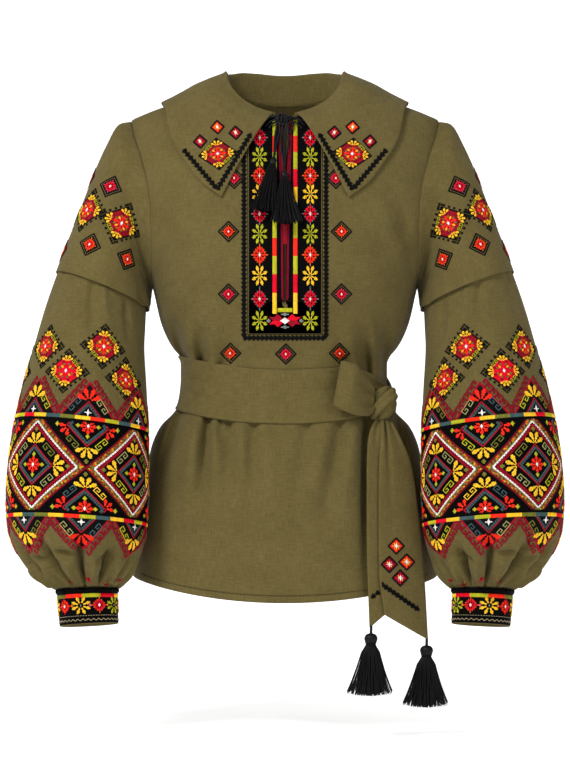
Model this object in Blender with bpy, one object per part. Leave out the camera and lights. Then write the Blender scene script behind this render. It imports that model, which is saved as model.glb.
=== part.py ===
"""A worn linen blouse, hollow, as walls of cloth: body, two-tier sleeves, cuffs, collar, neck tie
and sash belt. Sizes are millimetres until a mesh is made. +Z is up, the front faces -Y, and left
and right are as seen from the front. The origin is the middle of the neck's base."""

from bisect import bisect_right
from collections import namedtuple
from math import cos, exp, floor, hypot, pi, radians, sin, sqrt

import bpy
from mathutils import Vector

for old_object in list(bpy.data.objects):
    bpy.data.objects.remove(old_object, do_unlink=True)

MM = 0.001
SHARP_ANGLE = 50.0       # degrees between faces past which an edge is shown sharp

# Driving sizes, in millimetres.
CLOTH = 1.6              # wall of the blouse's linen
COLLAR_CLOTH = 1.8       # two layers of linen
BELT_CLOTH = 2.2         # folded sash
SEAM = 0.4               # gap between pieces at a seam
NECK_HALF_WIDTH = 72.0
NECK_TOP = 27.0          # height of the neck point on the shoulder
NECK_FRONT_DROP = 45.0
NECK_BACK_DROP = 22.0
SHOULDER_TIP_X = 192.0
SHOULDER_TIP_Z = -19.0
UNDERARM_Z = -228.0
BUST_Z = -200.0
WAIST_Z = -345.0
PEPLUM_TOP_Z = -398.0
HEM_CENTRE_Z = -610.0
HEM_SIDE_RISE = 24.0
SLIT_END_Z = -250.0
SLIT_WIDE_Z = -20.0      # where the slit has its full width
SLIT_HALF_LEAST = 0.5
SLIT_HALF_GROWTH = 3.6
BELT_WIDTH = 64.0
BELT_GAP = 0.1           # between the body and the belt

Section = namedtuple("Section", "z half_width front_depth back_depth power")
BODY = [                 # from hem to neck, each a rounded oval
    Section(-660, 195, 136, 132, 2.05),
    Section(-590, 190, 132, 128, 2.05),
    Section(-492, 180, 126, 121, 2.05),
    Section(-450, 172, 120, 114, 2.1),
    Section(-426, 167, 114, 109, 2.15),
    Section(-410, 161, 108, 105, 2.2),
    Section(-398, 154, 103, 100, 2.2),
    Section(-384, 140, 99, 93, 2.2),
    Section(-372, 132, 98, 89, 2.2),
    Section(-358, 129, 97, 87, 2.2),
    Section(-340, 127.5, 97, 86, 2.2),
    Section(-322, 127.5, 97.5, 86.5, 2.2),
    Section(-312, 131.5, 99, 87, 2.2),
    Section(-304, 138.5, 101, 88, 2.2),
    Section(-290, 147, 105, 90, 2.2),
    Section(-270, 155, 111, 94, 2.25),
    Section(-228, 165, 122, 99, 2.3),
    Section(-190, 178, 127, 105, 2.3),
    Section(-150, 189, 120, 108, 2.35),
    Section(-110, 196, 108, 106, 2.4),
    Section(-70, 198, 91, 99, 2.4),
    Section(-40, 196.5, 75, 88, 2.3),
    Section(-19, 192, 62, 78, 2.2),
    Section(-11, 177, 58, 74, 2.1),
    Section(-2, 154, 54, 68, 2.0),
    Section(8, 123, 49, 61, 2.0),
    Section(NECK_TOP, NECK_HALF_WIDTH, 41, 46, 2.0),
]

ArmholePlace = namedtuple("ArmholePlace", "z x")
ARMHOLE = [
    ArmholePlace(UNDERARM_Z, 165),
    ArmholePlace(-180, 164),
    ArmholePlace(-135, 165),
    ArmholePlace(-103, 168.5),
    ArmholePlace(-70, 176.5),
    ArmholePlace(-40, 186.5),
    ArmholePlace(SHOULDER_TIP_Z, SHOULDER_TIP_X),
]

Fold = namedtuple("Fold", "x top bottom width height")
FRONT_FOLDS = [          # soft pleats let out below and above the belt, and the bust darts
    Fold(-128, -398, -500, 15, 4.5),
    Fold(-88, -402, -520, 17, 3.5),
    Fold(-42, -410, -560, 20, 2.0),
    Fold(30, -410, -560, 22, 2.0),
    Fold(84, -402, -520, 17, 3.0),
    Fold(128, -398, -505, 15, 4.0),
    Fold(-116, -255, -322, 14, 3.0),
    Fold(-84, -270, -326, 13, 2.5),
    Fold(112, -258, -322, 14, 3.0),
]
BACK_FOLDS = [
    Fold(-120, -398, -510, 16, 4.0),
    Fold(-78, -402, -530, 18, 4.5),
    Fold(-30, -404, -540, 18, 3.5),
    Fold(26, -404, -540, 18, 4.0),
    Fold(74, -402, -520, 18, 4.0),
    Fold(118, -398, -505, 16, 4.5),
    Fold(-70, -235, -306, 16, 3.0),
    Fold(-24, -225, -306, 17, 2.5),
    Fold(30, -230, -306, 17, 3.0),
    Fold(78, -238, -306, 16, 2.5),
]

FOLD_FADE_BELOW = 40.0   # length over which a fold runs out at its foot
FOLD_FADE_ABOVE = 14.0   # and at its head
FOLD_SIDE_FADE = 8       # power by which folds die out at the side seams

SleeveRing = namedtuple("SleeveRing", "outer_x outer_z inner_x inner_z middle_y half_depth gather")
UPPER_SLEEVE = [         # the right sleeve, below its armhole ring
    SleeveRing(209, -24.5, 165.8, -230, -1, 60, 0),
    SleeveRing(223, -50, 166.3, -234, -3, 62, 0),
    SleeveRing(234, -75, 166.6, -238, -7, 64, 0),
    SleeveRing(244, -102, 167, -242, -11, 65, 0),
    SleeveRing(260, -145, 167, -247, -18, 66, 0),
    SleeveRing(276, -187, 168, -251, -23, 67, 0),
    SleeveRing(284, -209, 168, -255, -26, 68, 0),
]
LOWER_SLEEVE = [
    SleeveRing(275.5, -193, 172, -253, -24, 62, 0),
    SleeveRing(284.5, -217, 172.5, -259, -27, 63.5, 0),
    SleeveRing(297, -256, 173, -279, -36, 68, 0),
    SleeveRing(309, -300, 173.5, -306, -44, 71, 0),
    SleeveRing(322, -350, 170, -357, -56, 74, 0),
    SleeveRing(332, -398, 167.5, -405, -68, 77, 0),
    SleeveRing(338, -446, 167, -454, -76, 80, 0),
    SleeveRing(340, -492, 167.5, -498, -82, 80, 0.3),
    SleeveRing(336, -532, 171, -537, -85, 77, 1.2),
    SleeveRing(325, -557, 177, -559, -87, 70, 2.2),
    SleeveRing(307, -577, 187, -576, -87, 56, 3.0),
    SleeveRing(288, -590, 198, -588, -88, 43, 2.8),
    SleeveRing(278, -596.5, 205, -594.5, -88, 35.5, 1.2),
]
GATHER_START = 7         # the ring from which the lower sleeve has twice the points
CUFF = [
    SleeveRing(277.5, -597, 204.5, -595, -88, 35, 0),
    SleeveRing(276, -620, 204, -617, -89, 34.5, 0),
    SleeveRing(274, -642, 203, -638, -90, 34, 0),
]
SLEEVE_TILT = radians(7.5)   # the front of each ring stands higher
TILT_RINGS = 4           # rings over which the tilt grows from the armhole
SLEEVE_POINTS = 24
GATHERS = 16

CollarPlace = namedtuple("CollarPlace", "angle x y stand lift")
COLLAR_EDGE = [          # angle round the neck from the back; outer edge in plan; stand; fall's lift
    CollarPlace(0, 0, 98, 39, 7),
    CollarPlace(20, 55, 95, 38, 7),
    CollarPlace(40, 106, 81, 34, 8),
    CollarPlace(60, 139, 53, 26, 10),
    CollarPlace(80, 155, 17, 19, 11),
    CollarPlace(95, 154, -10, 16, 11),
    CollarPlace(108, 143, -38, 13, 9),
    CollarPlace(125, 121, -69, 8, 7),
    CollarPlace(145, 98, -92, 5, 6),
    CollarPlace(169, 80, -103.5, 2.5, 5),
]
COLLAR_CORNER_ANGLE = 169.0
STAND_HALF_LEAN = 0.06   # how far the stand leans out, as shares of its height: half way up
STAND_TOP_LEAN = 0.12    # and at its top
ROLL_LEAST = 1.6         # radius of the roll over the stand: with no stand
ROLL_MOST = 3.2
ROLL_GROWTH = 0.12       # and how it grows with the stand's height
ROLL_RISE = 0.7          # the roll's crest, in radii over the stand
ROLL_OUT = 2.1           # the roll's far side, in radii out from the stand
ROLL_DROP = 0.1
FALL_SHARES = (0.2, 0.45, 0.75, 1.0)
FALL_CLEAR = 1.0         # between the fall and the blouse
FALL_LIFT_FROM = 3.0
FALL_CURVE = 2.6         # power by which the fall comes down from the roll

BELT_ROWS = 3
BELT_FRONT_DIP = 17.0
BELT_BACK_RISE = 6.0

LoopPlace = namedtuple("LoopPlace", "x y top bottom")
BOW_LOOP = [             # from the knot along the back layer, round the end, along the front layer
    LoopPlace(105.5, -73, -353, -374),
    LoopPlace(96, -81, -341, -376),
    LoopPlace(80, -90, -326, -375),
    LoopPlace(66, -95.6, -316, -370),
    LoopPlace(58, -99, -313.5, -368),
    LoopPlace(56, -103, -313, -367.5),
    LoopPlace(60, -108, -314, -369),
    LoopPlace(74, -109, -319, -375),
    LoopPlace(90, -101, -328, -382),
    LoopPlace(101, -91, -338, -384),
    LoopPlace(107, -84, -350, -380),
]
BOW_LOOP_ROWS = 3

KNOT_MIDDLE = Vector((122.6, -73.9, -371))
KNOT_HALF = Vector((12.5, 11, 22))
KNOT_CREASES = 4
CREASE_DEPTH = 0.12      # as a share of the knot's half width

TailPlace = namedtuple("TailPlace", "left_x left_z right_x right_z lift")
TAIL_LEFT = [
    TailPlace(111, -388, 125, -392, 8),
    TailPlace(103, -408, 128, -408, 8),
    TailPlace(100, -440, 138, -440, 8),
    TailPlace(99.5, -500, 147, -500, 8),
    TailPlace(100, -560, 151, -555, 8),
    TailPlace(102.5, -640, 153, -599, 8),
]
TAIL_RIGHT = [
    TailPlace(118, -391, 131, -393, 12),
    TailPlace(116.5, -416, 141, -412, 12),
    TailPlace(114.6, -454, 155, -448, 12),
    TailPlace(114, -520, 164, -515, 12),
    TailPlace(114.6, -575, 170, -585, 12),
    TailPlace(120.6, -625, 174, -657, 12),
]
TAIL_COLUMNS = 4
TAIL_REST_X = 107.0      # where the tails rest on the body
TAIL_FOLLOW = 0.6        # how much of the body's turning away a tail follows
TAIL_CORNER_INSET = 1.5  # from a tail's corner to the tassel's cord

HeadRing = namedtuple("HeadRing", "down radius")
BELT_TASSEL_HEAD = [HeadRing(0, 1.7), HeadRing(8, 1.7), HeadRing(9.5, 5.2), HeadRing(14.5, 7.5),
                    HeadRing(19, 5.8), HeadRing(21.5, 4.4), HeadRing(25, 6.6), HeadRing(29, 9.5)]
TIE_TASSEL_HEAD = [HeadRing(0, 1.3), HeadRing(2, 3.2), HeadRing(5.5, 4.2), HeadRing(9, 3.3),
                   HeadRing(11, 2.9), HeadRing(15, 5.0)]
TASSEL_INSET = 0.8       # a strand's root as a share of its place under the head
TASSEL_CLEAR = 0.2       # more than a seam's gap, under a tail's corner
STRAND_TAPER = 0.72      # its end as a share of its root, apart from the flare
STRAND_RINGS = (0.66, 0.33)
BELT_TASSEL_SIDES = 14
BELT_TASSEL_LENGTH = 84.0
BELT_TASSEL_SPREAD = 27.0
TIE_TASSEL_SIDES = 8

TIE_CORD = 2.6
TIE_KNOT_MIDDLE = Vector((-1, -70.5, -21))
TIE_KNOT_HALF = Vector((17, 5.5, 6.5))
TIE_CLEAR = 0.2          # between a cord and the chest
TIE_LIFT_TOP = 2.4       # how much further off it a cord is under the knot
TIE_LIFT_FOOT = 3.4      # and at its tassel
TIE_TASSEL_DROP = 0.3    # more than a seam's gap, under a cord's end

TieRoute = namedtuple("TieRoute", "start_x start_z end_x end_z count")
TIE_LEFT = TieRoute(-9, -27.7, -13.6, -70, 8)
TIE_RIGHT = TieRoute(-1, -28.3, -1, -86, 10)

MATERIALS = {
    "linen": ((0.155, 0.125, 0.045), 0.9),
    "silk": ((0.006, 0.006, 0.007), 0.55),
}


# Reading the tables.

HALVINGS = 30            # steps of a search for a height


def read(rows, place, column, key=0):
    """A column's smooth value at a place: a cubic through the rows, level past the ends."""
    keys = [row[key] for row in rows]
    values = [getattr(row, column) for row in rows]
    if place <= keys[0]:
        return values[0]
    if place >= keys[-1]:
        return values[-1]
    i = bisect_right(keys, place) - 1

    def slope(k):
        low, high = max(k - 1, 0), min(k + 1, len(keys) - 1)
        before = (values[k] - values[low]) / (keys[k] - keys[low]) if k > low else None
        after = (values[high] - values[k]) / (keys[high] - keys[k]) if high > k else None
        if before is None or after is None:
            return after if before is None else before
        return 0.0 if before * after <= 0 else 2 * before * after / (before + after)

    width = keys[i + 1] - keys[i]
    t = (place - keys[i]) / width
    return ((1 + 2 * t) * (1 - t) ** 2 * values[i] + t * (1 - t) ** 2 * width * slope(i)
            + t * t * (3 - 2 * t) * values[i + 1] + t * t * (t - 1) * width * slope(i + 1))


def smooth_step(low, high, place):
    t = min(max((place - low) / (high - low), 0.0), 1.0)
    return t * t * (3 - 2 * t)


# The body's surface.

def body_depth(x, z, front=True):
    """How far the body lies from the plane y = 0, at a place across and up it."""
    width = read(BODY, z, "half_width")
    depth = read(BODY, z, "front_depth" if front else "back_depth")
    power = read(BODY, z, "power")
    across = min(abs(x) / width, 1.0)
    return depth * (1 - across ** power) ** (1 / power)


def body_height(x, y):
    """The body's height over a point in plan, from the shoulders to the bust."""
    low, high = BUST_Z, NECK_TOP
    for _ in range(HALVINGS):
        middle = (low + high) / 2
        width = read(BODY, middle, "half_width")
        depth = read(BODY, middle, "front_depth" if y < 0 else "back_depth")
        power = read(BODY, middle, "power")
        if (abs(x) / width) ** power + (abs(y) / depth) ** power > 1:
            high = middle
        else:
            low = middle
    return low


def folds_at(folds, x, z):
    total = 0.0
    for fold in folds:
        fade = (smooth_step(fold.bottom, fold.bottom + FOLD_FADE_BELOW, z)
                * (1 - smooth_step(fold.top - FOLD_FADE_ABOVE, fold.top, z)))
        total += fold.height * fade * exp(-((x - fold.x) / fold.width) ** 2)
    return total


# Making a mesh.

def material(name):
    found = bpy.data.materials.get(name)
    if found:
        return found
    colour, roughness = MATERIALS[name]
    made = bpy.data.materials.new(name)
    made.use_nodes = True
    shader = made.node_tree.nodes["Principled BSDF"]
    shader.inputs["Base Color"].default_value = (*colour, 1.0)
    shader.inputs["Roughness"].default_value = roughness
    return made


def add_object(name, points, faces, finish):
    mesh = bpy.data.meshes.new(name)
    mesh.from_pydata([Vector(point) * MM for point in points], [], faces)
    mesh.validate()
    mesh.shade_smooth()
    mesh.set_sharp_from_angle(angle=radians(SHARP_ANGLE))
    made = bpy.data.objects.new(name, mesh)
    bpy.context.collection.objects.link(made)
    mesh.materials.append(material(finish))
    return made


def point_normals(points, faces):
    normals = [Vector() for _ in points]
    for face in faces:
        corners = [points[i] for i in face]
        flat = Vector()
        for a, b in zip(corners, corners[1:] + corners[:1]):
            flat += a.cross(b)
        for i in face:
            normals[i] += flat
    return [normal.normalized() for normal in normals]


def cloth_wall(name, points, faces, thickness, square=None):
    """A closed wall: one face of the cloth, the other face inside it, and strips at open edges.

    square maps a point to a function that turns its normal, so that the wall's edge at a seam
    stays in the seam's plane.
    """
    points = [Vector(point) for point in points]
    normals = point_normals(points, faces)
    for i, turn in (square or {}).items():
        normals[i] = turn(normals[i]).normalized()
    count = len(points)
    inside = [point - normal * thickness for point, normal in zip(points, normals)]
    edges = {}
    for face in faces:
        for a, b in zip(face, face[1:] + face[:1]):
            edges[(a, b)] = True
    rims = [(b, a, a + count, b + count) for a, b in edges if (b, a) not in edges]
    walls = list(faces) + [tuple(i + count for i in reversed(face)) for face in faces] + rims
    return add_object(name, points + inside, walls, "linen")


def without_x(normal):
    return Vector((0, normal.y, normal.z))


def without_y(normal):
    return Vector((normal.x, 0, normal.z))


def upright(normal):
    return Vector((normal.x, normal.y, 0))


# Front and back.

BODY_ROWS = [SLIT_END_Z, -275, -299, -313, -328, -348, -370, -384, PEPLUM_TOP_Z,
             -418, -455, -520, HEM_CENTRE_Z]
YOKE_ROWS = SLEEVE_POINTS // 2
NECK_COLUMNS = 5         # columns from the middle to the neck point
SIDE_COLUMNS_FRONT = 7   # columns from there to the side seam
SIDE_COLUMNS_BACK = 6
NECK_STEP = 90 / NECK_COLUMNS


def column_shares(side_count):
    """Shares of the half width: an equal turn apart at the neck, then an equal way round."""
    neck = NECK_HALF_WIDTH / SHOULDER_TIP_X
    shares = [neck * sin(radians(NECK_STEP * k)) for k in range(NECK_COLUMNS + 1)]
    power = read(BODY, UNDERARM_Z, "power")
    width = read(BODY, UNDERARM_Z, "half_width")
    depth = read(BODY, UNDERARM_Z, "front_depth")
    steps = 400
    places = [neck + (1 - neck) * sin(pi / 2 * k / steps) for k in range(steps + 1)]
    lengths = [0.0]
    for low, high in zip(places, places[1:]):
        fall = (1 - low ** power) ** (1 / power) - (1 - high ** power) ** (1 / power)
        lengths.append(lengths[-1] + hypot((high - low) * width, fall * depth))
    for k in range(1, side_count + 1):
        target = lengths[-1] * k / side_count
        nearest = min(range(steps + 1), key=lambda i: abs(lengths[i] - target))
        shares.append(places[nearest])
    return shares


def top_height(share, front):
    """The height of a panel's upper edge: the neckline, then the shoulder seam."""
    x = share * SHOULDER_TIP_X
    if x <= NECK_HALF_WIDTH + 0.01:
        drop = NECK_FRONT_DROP if front else NECK_BACK_DROP
        return NECK_TOP - drop * sqrt(max(0.0, 1 - (x / NECK_HALF_WIDTH) ** 2))
    low, high = SHOULDER_TIP_Z, NECK_TOP
    for _ in range(HALVINGS):
        middle = (low + high) / 2
        if read(BODY, middle, "half_width") > x:
            low = middle
        else:
            high = middle
    return low


def yoke_step(row):
    return (1 - cos(pi * row / YOKE_ROWS)) / 2


def armhole_height(step):
    return SHOULDER_TIP_Z + (UNDERARM_Z - SHOULDER_TIP_Z) * step


def panel_point(share, row, front):
    """A point of the front or back on the half that lies at +X."""
    if row <= YOKE_ROWS:
        step = yoke_step(row)
        top = top_height(share, front)
        z = top + (UNDERARM_Z - top) * step
        x = share * read(ARMHOLE, armhole_height(step), "x")
    else:
        z = BODY_ROWS[row - YOKE_ROWS - 1]
        if z < PEPLUM_TOP_Z:
            rise = HEM_SIDE_RISE * share ** 2
            z += rise * (z - PEPLUM_TOP_Z) / (HEM_CENTRE_Z - PEPLUM_TOP_Z)
        x = share * read(BODY, z, "half_width")
    return x, z


def slit_half_width(z):
    if z <= SLIT_END_Z + 1:
        return 0.0
    return SLIT_HALF_LEAST + SLIT_HALF_GROWTH * smooth_step(SLIT_END_Z, SLIT_WIDE_Z, z)


def panel(name, front):
    shares = column_shares(SIDE_COLUMNS_FRONT if front else SIDE_COLUMNS_BACK)
    half = len(shares) - 1
    rows = YOKE_ROWS + 1 + len(BODY_ROWS)
    folds = FRONT_FOLDS if front else BACK_FOLDS
    forward = -1 if front else 1
    points, faces, square, index = [], [], {}, {}
    for row in range(rows):
        for column in range(-half, half + 1):
            share = shares[abs(column)]
            x, z = panel_point(share, row, front)
            x *= 1 if column > 0 else -1
            depth = body_depth(x, z, front)
            seam = depth < SEAM / 2
            depth += 0 if seam else folds_at(folds, x, z) * (1 - share ** FOLD_SIDE_FADE)
            y = forward * max(depth, SEAM / 2)
            sides = (-1, 1) if front and column == 0 and z > SLIT_END_Z + 1 else (0,)
            for side in sides:
                index[row, column, side] = len(points)
                if seam:
                    square[len(points)] = without_y
                elif side:
                    square[len(points)] = without_x
                points.append((x + side * slit_half_width(z), y, z))

    def corner(row, column, side):
        return index.get((row, column, side), index.get((row, column, 0)))

    for row in range(rows - 1):
        for column in range(-half, half):
            side = -1 if column < 0 else 1
            face = (corner(row, column, side), corner(row + 1, column, side),
                    corner(row + 1, column + 1, side), corner(row, column + 1, side))
            faces.append(face if front else tuple(reversed(face)))
    return cloth_wall(name, points, faces, CLOTH, square=square)


# Sleeves and cuffs.

def armhole_ring(count):
    """The sleeve's first ring, on the armhole's own points, a seam's gap outside them."""
    ring = []
    for k in range(count):
        angle = 2 * pi * k / count
        z = armhole_height((1 - cos(angle)) / 2)
        x = read(ARMHOLE, z, "x")
        depth = body_depth(x, z, front=angle <= pi)
        y = -depth if angle <= pi else depth
        ring.append(Vector((x + SEAM, y, z)))
    return ring


def sleeve_ring(row, count, tilt):
    """A ring of the right sleeve: from the outer line over the front to the inner line."""
    outer = Vector((row.outer_x, row.middle_y, row.outer_z))
    inner = Vector((row.inner_x, row.middle_y, row.inner_z))
    middle, across = (outer + inner) / 2, (outer - inner) / 2
    forward = Vector((0, -cos(tilt), sin(tilt))) * row.half_depth
    ring = []
    for k in range(count):
        angle = 2 * pi * k / count
        out = 1 + row.gather / row.half_depth * cos(GATHERS * angle)
        ring.append(middle + (across * cos(angle) + forward * sin(angle)) * out)
    return ring


def join_rings(rings):
    """Faces between rings, where a ring may have twice the points of the one before it."""
    points, faces, starts = [], [], []
    for ring in rings:
        starts.append(len(points))
        points += ring
    for above, below, start_above, start_below in zip(rings, rings[1:], starts, starts[1:]):
        n, m = len(above), len(below)
        for k in range(n):
            a, b = start_above + k, start_above + (k + 1) % n
            if n == m:
                faces.append((a, start_below + k, start_below + (k + 1) % m, b))
                continue
            low, half, high = (start_below + (2 * k + step) % m for step in range(3))
            faces += [(a, low, half), (a, half, b), (b, half, high)]
    return points, faces


def tube(name, side, rings, square_rows=()):
    points, faces = join_rings(rings)
    starts = [sum(len(ring) for ring in rings[:k]) for k in range(len(rings))]
    square = {}
    for row, turn in square_rows:
        for k in range(len(rings[row])):
            square[starts[row] + k] = turn
    if side > 0:
        faces = [tuple(reversed(face)) for face in faces]
    else:
        points = [Vector((-point.x, point.y, point.z)) for point in points]
    return cloth_wall(name, points, faces, CLOTH, square=square)


def sleeve(label, side):
    rings = [armhole_ring(SLEEVE_POINTS)]
    rings += [sleeve_ring(row, SLEEVE_POINTS, SLEEVE_TILT * min(1, (k + 1) / TILT_RINGS))
              for k, row in enumerate(UPPER_SLEEVE)]
    tube(f"sleeve_upper_{label}", side, rings, [(0, without_x)])
    rings = [sleeve_ring(row, SLEEVE_POINTS * (2 if k >= GATHER_START else 1), SLEEVE_TILT)
             for k, row in enumerate(LOWER_SLEEVE)]
    tube(f"sleeve_lower_{label}", side, rings, [(len(rings) - 1, upright)])
    rings = [sleeve_ring(row, SLEEVE_POINTS, SLEEVE_TILT) for row in CUFF]
    tube(f"cuff_{label}", side, rings, [(0, upright)])


# Collar.

def neck_point(angle):
    """A point of the neckline: the angle goes round from the middle of the back."""
    x = NECK_HALF_WIDTH * sin(radians(angle))
    front = abs(angle) > 90
    drop = NECK_FRONT_DROP if front else NECK_BACK_DROP
    z = NECK_TOP - drop * sqrt(max(0.0, 1 - (x / NECK_HALF_WIDTH) ** 2))
    depth = body_depth(x, z, front)
    return Vector((x, -depth if front else depth, z))


def neck_place(angle):
    """The same on the straight stretches between the front's and the back's own columns."""
    low = floor(angle / NECK_STEP) * NECK_STEP
    return neck_point(low).lerp(neck_point(low + NECK_STEP), (angle - low) / NECK_STEP)


def over_body(x, y, lift):
    """A point of the shoulders or chest, moved out along the surface's normal."""
    step = 2.0
    z = body_height(x, y)
    slope_x = (body_height(x + step, y) - body_height(x - step, y)) / (2 * step)
    slope_y = (body_height(x, y + step) - body_height(x, y - step)) / (2 * step)
    normal = Vector((-slope_x, -slope_y, 1)).normalized()
    return Vector((x, y, z)) + normal * lift


def collar_line(angle):
    """The collar's own section: up the stand, over the roll and down the fall to its edge."""
    row = [read(COLLAR_EDGE, abs(angle), column) for column in ("x", "y", "stand", "lift")]
    edge_x, edge_y, stand, lift = row
    edge_x *= 1 if angle > 0 else -1
    seam = neck_place(angle)
    away = Vector((edge_x - seam.x, edge_y - seam.y, 0)).normalized()
    if abs(angle) < 1:
        away = Vector((0, 1, 0))
    radius = min(ROLL_MOST, ROLL_LEAST + stand * ROLL_GROWTH)
    foot = seam + Vector((0, 0, SEAM)) - away * (COLLAR_CLOTH + SEAM)
    line = [foot, foot + Vector((0, 0, stand * 0.5)) + away * stand * STAND_HALF_LEAN]
    crest = foot + Vector((0, 0, stand)) + away * (stand * STAND_TOP_LEAN)
    line += [crest, crest + away * radius + Vector((0, 0, radius * ROLL_RISE)),
             crest + away * radius * ROLL_OUT - Vector((0, 0, radius * ROLL_DROP))]
    start = line[-1]
    for share in FALL_SHARES:
        x = start.x + (edge_x - start.x) * share
        y = start.y + (edge_y - start.y) * share
        swell = (lift - FALL_LIFT_FROM) * sin(pi * min(share, 0.9))
        near = over_body(x, y, COLLAR_CLOTH + FALL_CLEAR + swell)
        fall = (1 - share) ** FALL_CURVE
        line.append(near + Vector((0, 0, max(start.z - near.z, 0) * fall)))
    return line


def collar():
    step = NECK_STEP / 2
    half = [step * k for k in range(1, int(COLLAR_CORNER_ANGLE // step) + 1)]
    half.append(COLLAR_CORNER_ANGLE)
    angles = [-angle for angle in reversed(half)] + [0] + half
    lines = [collar_line(angle) for angle in angles]
    length = len(lines[0])
    points = [point for line in lines for point in line]
    faces = []
    for k in range(len(lines) - 1):
        for j in range(length - 1):
            a = k * length + j
            faces.append((a, a + 1, a + length + 1, a + length))
    faces = [tuple(reversed(face)) for face in faces]
    square = {k * length: upright for k in range(len(lines))}
    return cloth_wall("collar", points, faces, COLLAR_CLOTH, square=square)


# Sash belt.

def belt_middle(frontness):
    return WAIST_Z - frontness * (BELT_FRONT_DIP if frontness > 0 else BELT_BACK_RISE)


def belt_wrap():
    """A ring over the columns of the front and the back."""
    front = column_shares(SIDE_COLUMNS_FRONT)
    back = column_shares(SIDE_COLUMNS_BACK)
    ring = [(share, True) for share in front[::-1]] + [(-share, True) for share in front[1:]]
    ring += [(-share, False) for share in back[-2::-1]] + [(share, False) for share in back[1:-1]]
    lift = BELT_GAP + BELT_CLOTH
    points, faces, count = [], [], len(ring)
    for row in range(BELT_ROWS + 1):
        for share, at_front in ring:
            frontness = (1 - abs(share) ** 2) * (1 if at_front else -1)
            z = belt_middle(frontness) + BELT_WIDTH * (0.5 - row / BELT_ROWS)
            width = read(BODY, z, "half_width")
            depth = read(BODY, z, "front_depth" if at_front else "back_depth")
            power = read(BODY, z, "power")
            x, y = share * (width + lift), (1 - abs(share) ** power) ** (1 / power) * (depth + lift)
            points.append((x, -y if at_front else y, z))
    for row in range(BELT_ROWS):
        for k in range(count):
            a, b = row * count + k, row * count + (k + 1) % count
            faces.append((a, b, b + count, a + count))
    return cloth_wall("belt_wrap", points, [face[::-1] for face in faces], BELT_CLOTH)


def belt_loop():
    rows = BOW_LOOP_ROWS + 1
    points, faces = [], []
    for place in BOW_LOOP:
        for row in range(rows):
            z = place.top + (place.bottom - place.top) * row / BOW_LOOP_ROWS
            points.append((place.x, place.y, z))
    for k in range(len(BOW_LOOP) - 1):
        for row in range(BOW_LOOP_ROWS):
            a = k * rows + row
            faces.append((a, a + 1, a + rows + 1, a + rows))
    return cloth_wall("belt_loop", points, faces, BELT_CLOTH)


def rounded_lump(name, middle, half, creases, finish, rings=9, around=14):
    """A closed rounded form with upright creases pressed into it."""
    points = [middle + Vector((0, 0, half.z))]
    for ring in range(1, rings):
        tilt = pi * ring / rings
        for k in range(around):
            turn = 2 * pi * k / around
            press = 1 - CREASE_DEPTH * (k % creases == 0) * sin(tilt)
            points.append(middle + Vector((half.x * sin(tilt) * cos(turn) * press,
                                           half.y * sin(tilt) * sin(turn) * press,
                                           half.z * cos(tilt))))
    points.append(middle - Vector((0, 0, half.z)))
    faces, last = [], len(points) - 1
    for k in range(around):
        after = (k + 1) % around
        faces.append((0, 1 + k, 1 + after))
        faces.append((last, last - around + after, last - around + k))
        for ring in range(rings - 2):
            a = 1 + ring * around
            faces.append((a + k, a + around + k, a + around + after, a + after))
    return add_object(name, points, faces, finish)


def tail_point(place, share):
    x = place.left_x + (place.right_x - place.left_x) * share
    z = place.left_z + (place.right_z - place.left_z) * share
    near = body_depth(TAIL_REST_X, z)
    far = body_depth(x, z)
    return Vector((x, -(near + (far - near) * TAIL_FOLLOW + place.lift), z))


def below_knot(point):
    """The same point, moved down until it clears the knot."""
    across = 1 - sum(((point[k] - KNOT_MIDDLE[k]) / KNOT_HALF[k]) ** 2 for k in (0, 1))
    under = KNOT_MIDDLE.z - KNOT_HALF.z * sqrt(max(across, 0)) - SEAM
    return Vector((point.x, point.y, min(point.z, under)))


def belt_tail(name, table):
    count = TAIL_COLUMNS + 1
    points, faces = [], []
    for row, place in enumerate(table):
        for column in range(count):
            point = tail_point(place, column / TAIL_COLUMNS)
            points.append(below_knot(point) if row == 0 else point)
    for row in range(len(table) - 1):
        for column in range(TAIL_COLUMNS):
            a = row * count + column
            faces.append((a, a + count, a + count + 1, a + 1))
    return cloth_wall(name, points, faces, BELT_CLOTH)


# Tassels: a wound head, and silk strands that grow from the faces under it.

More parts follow.
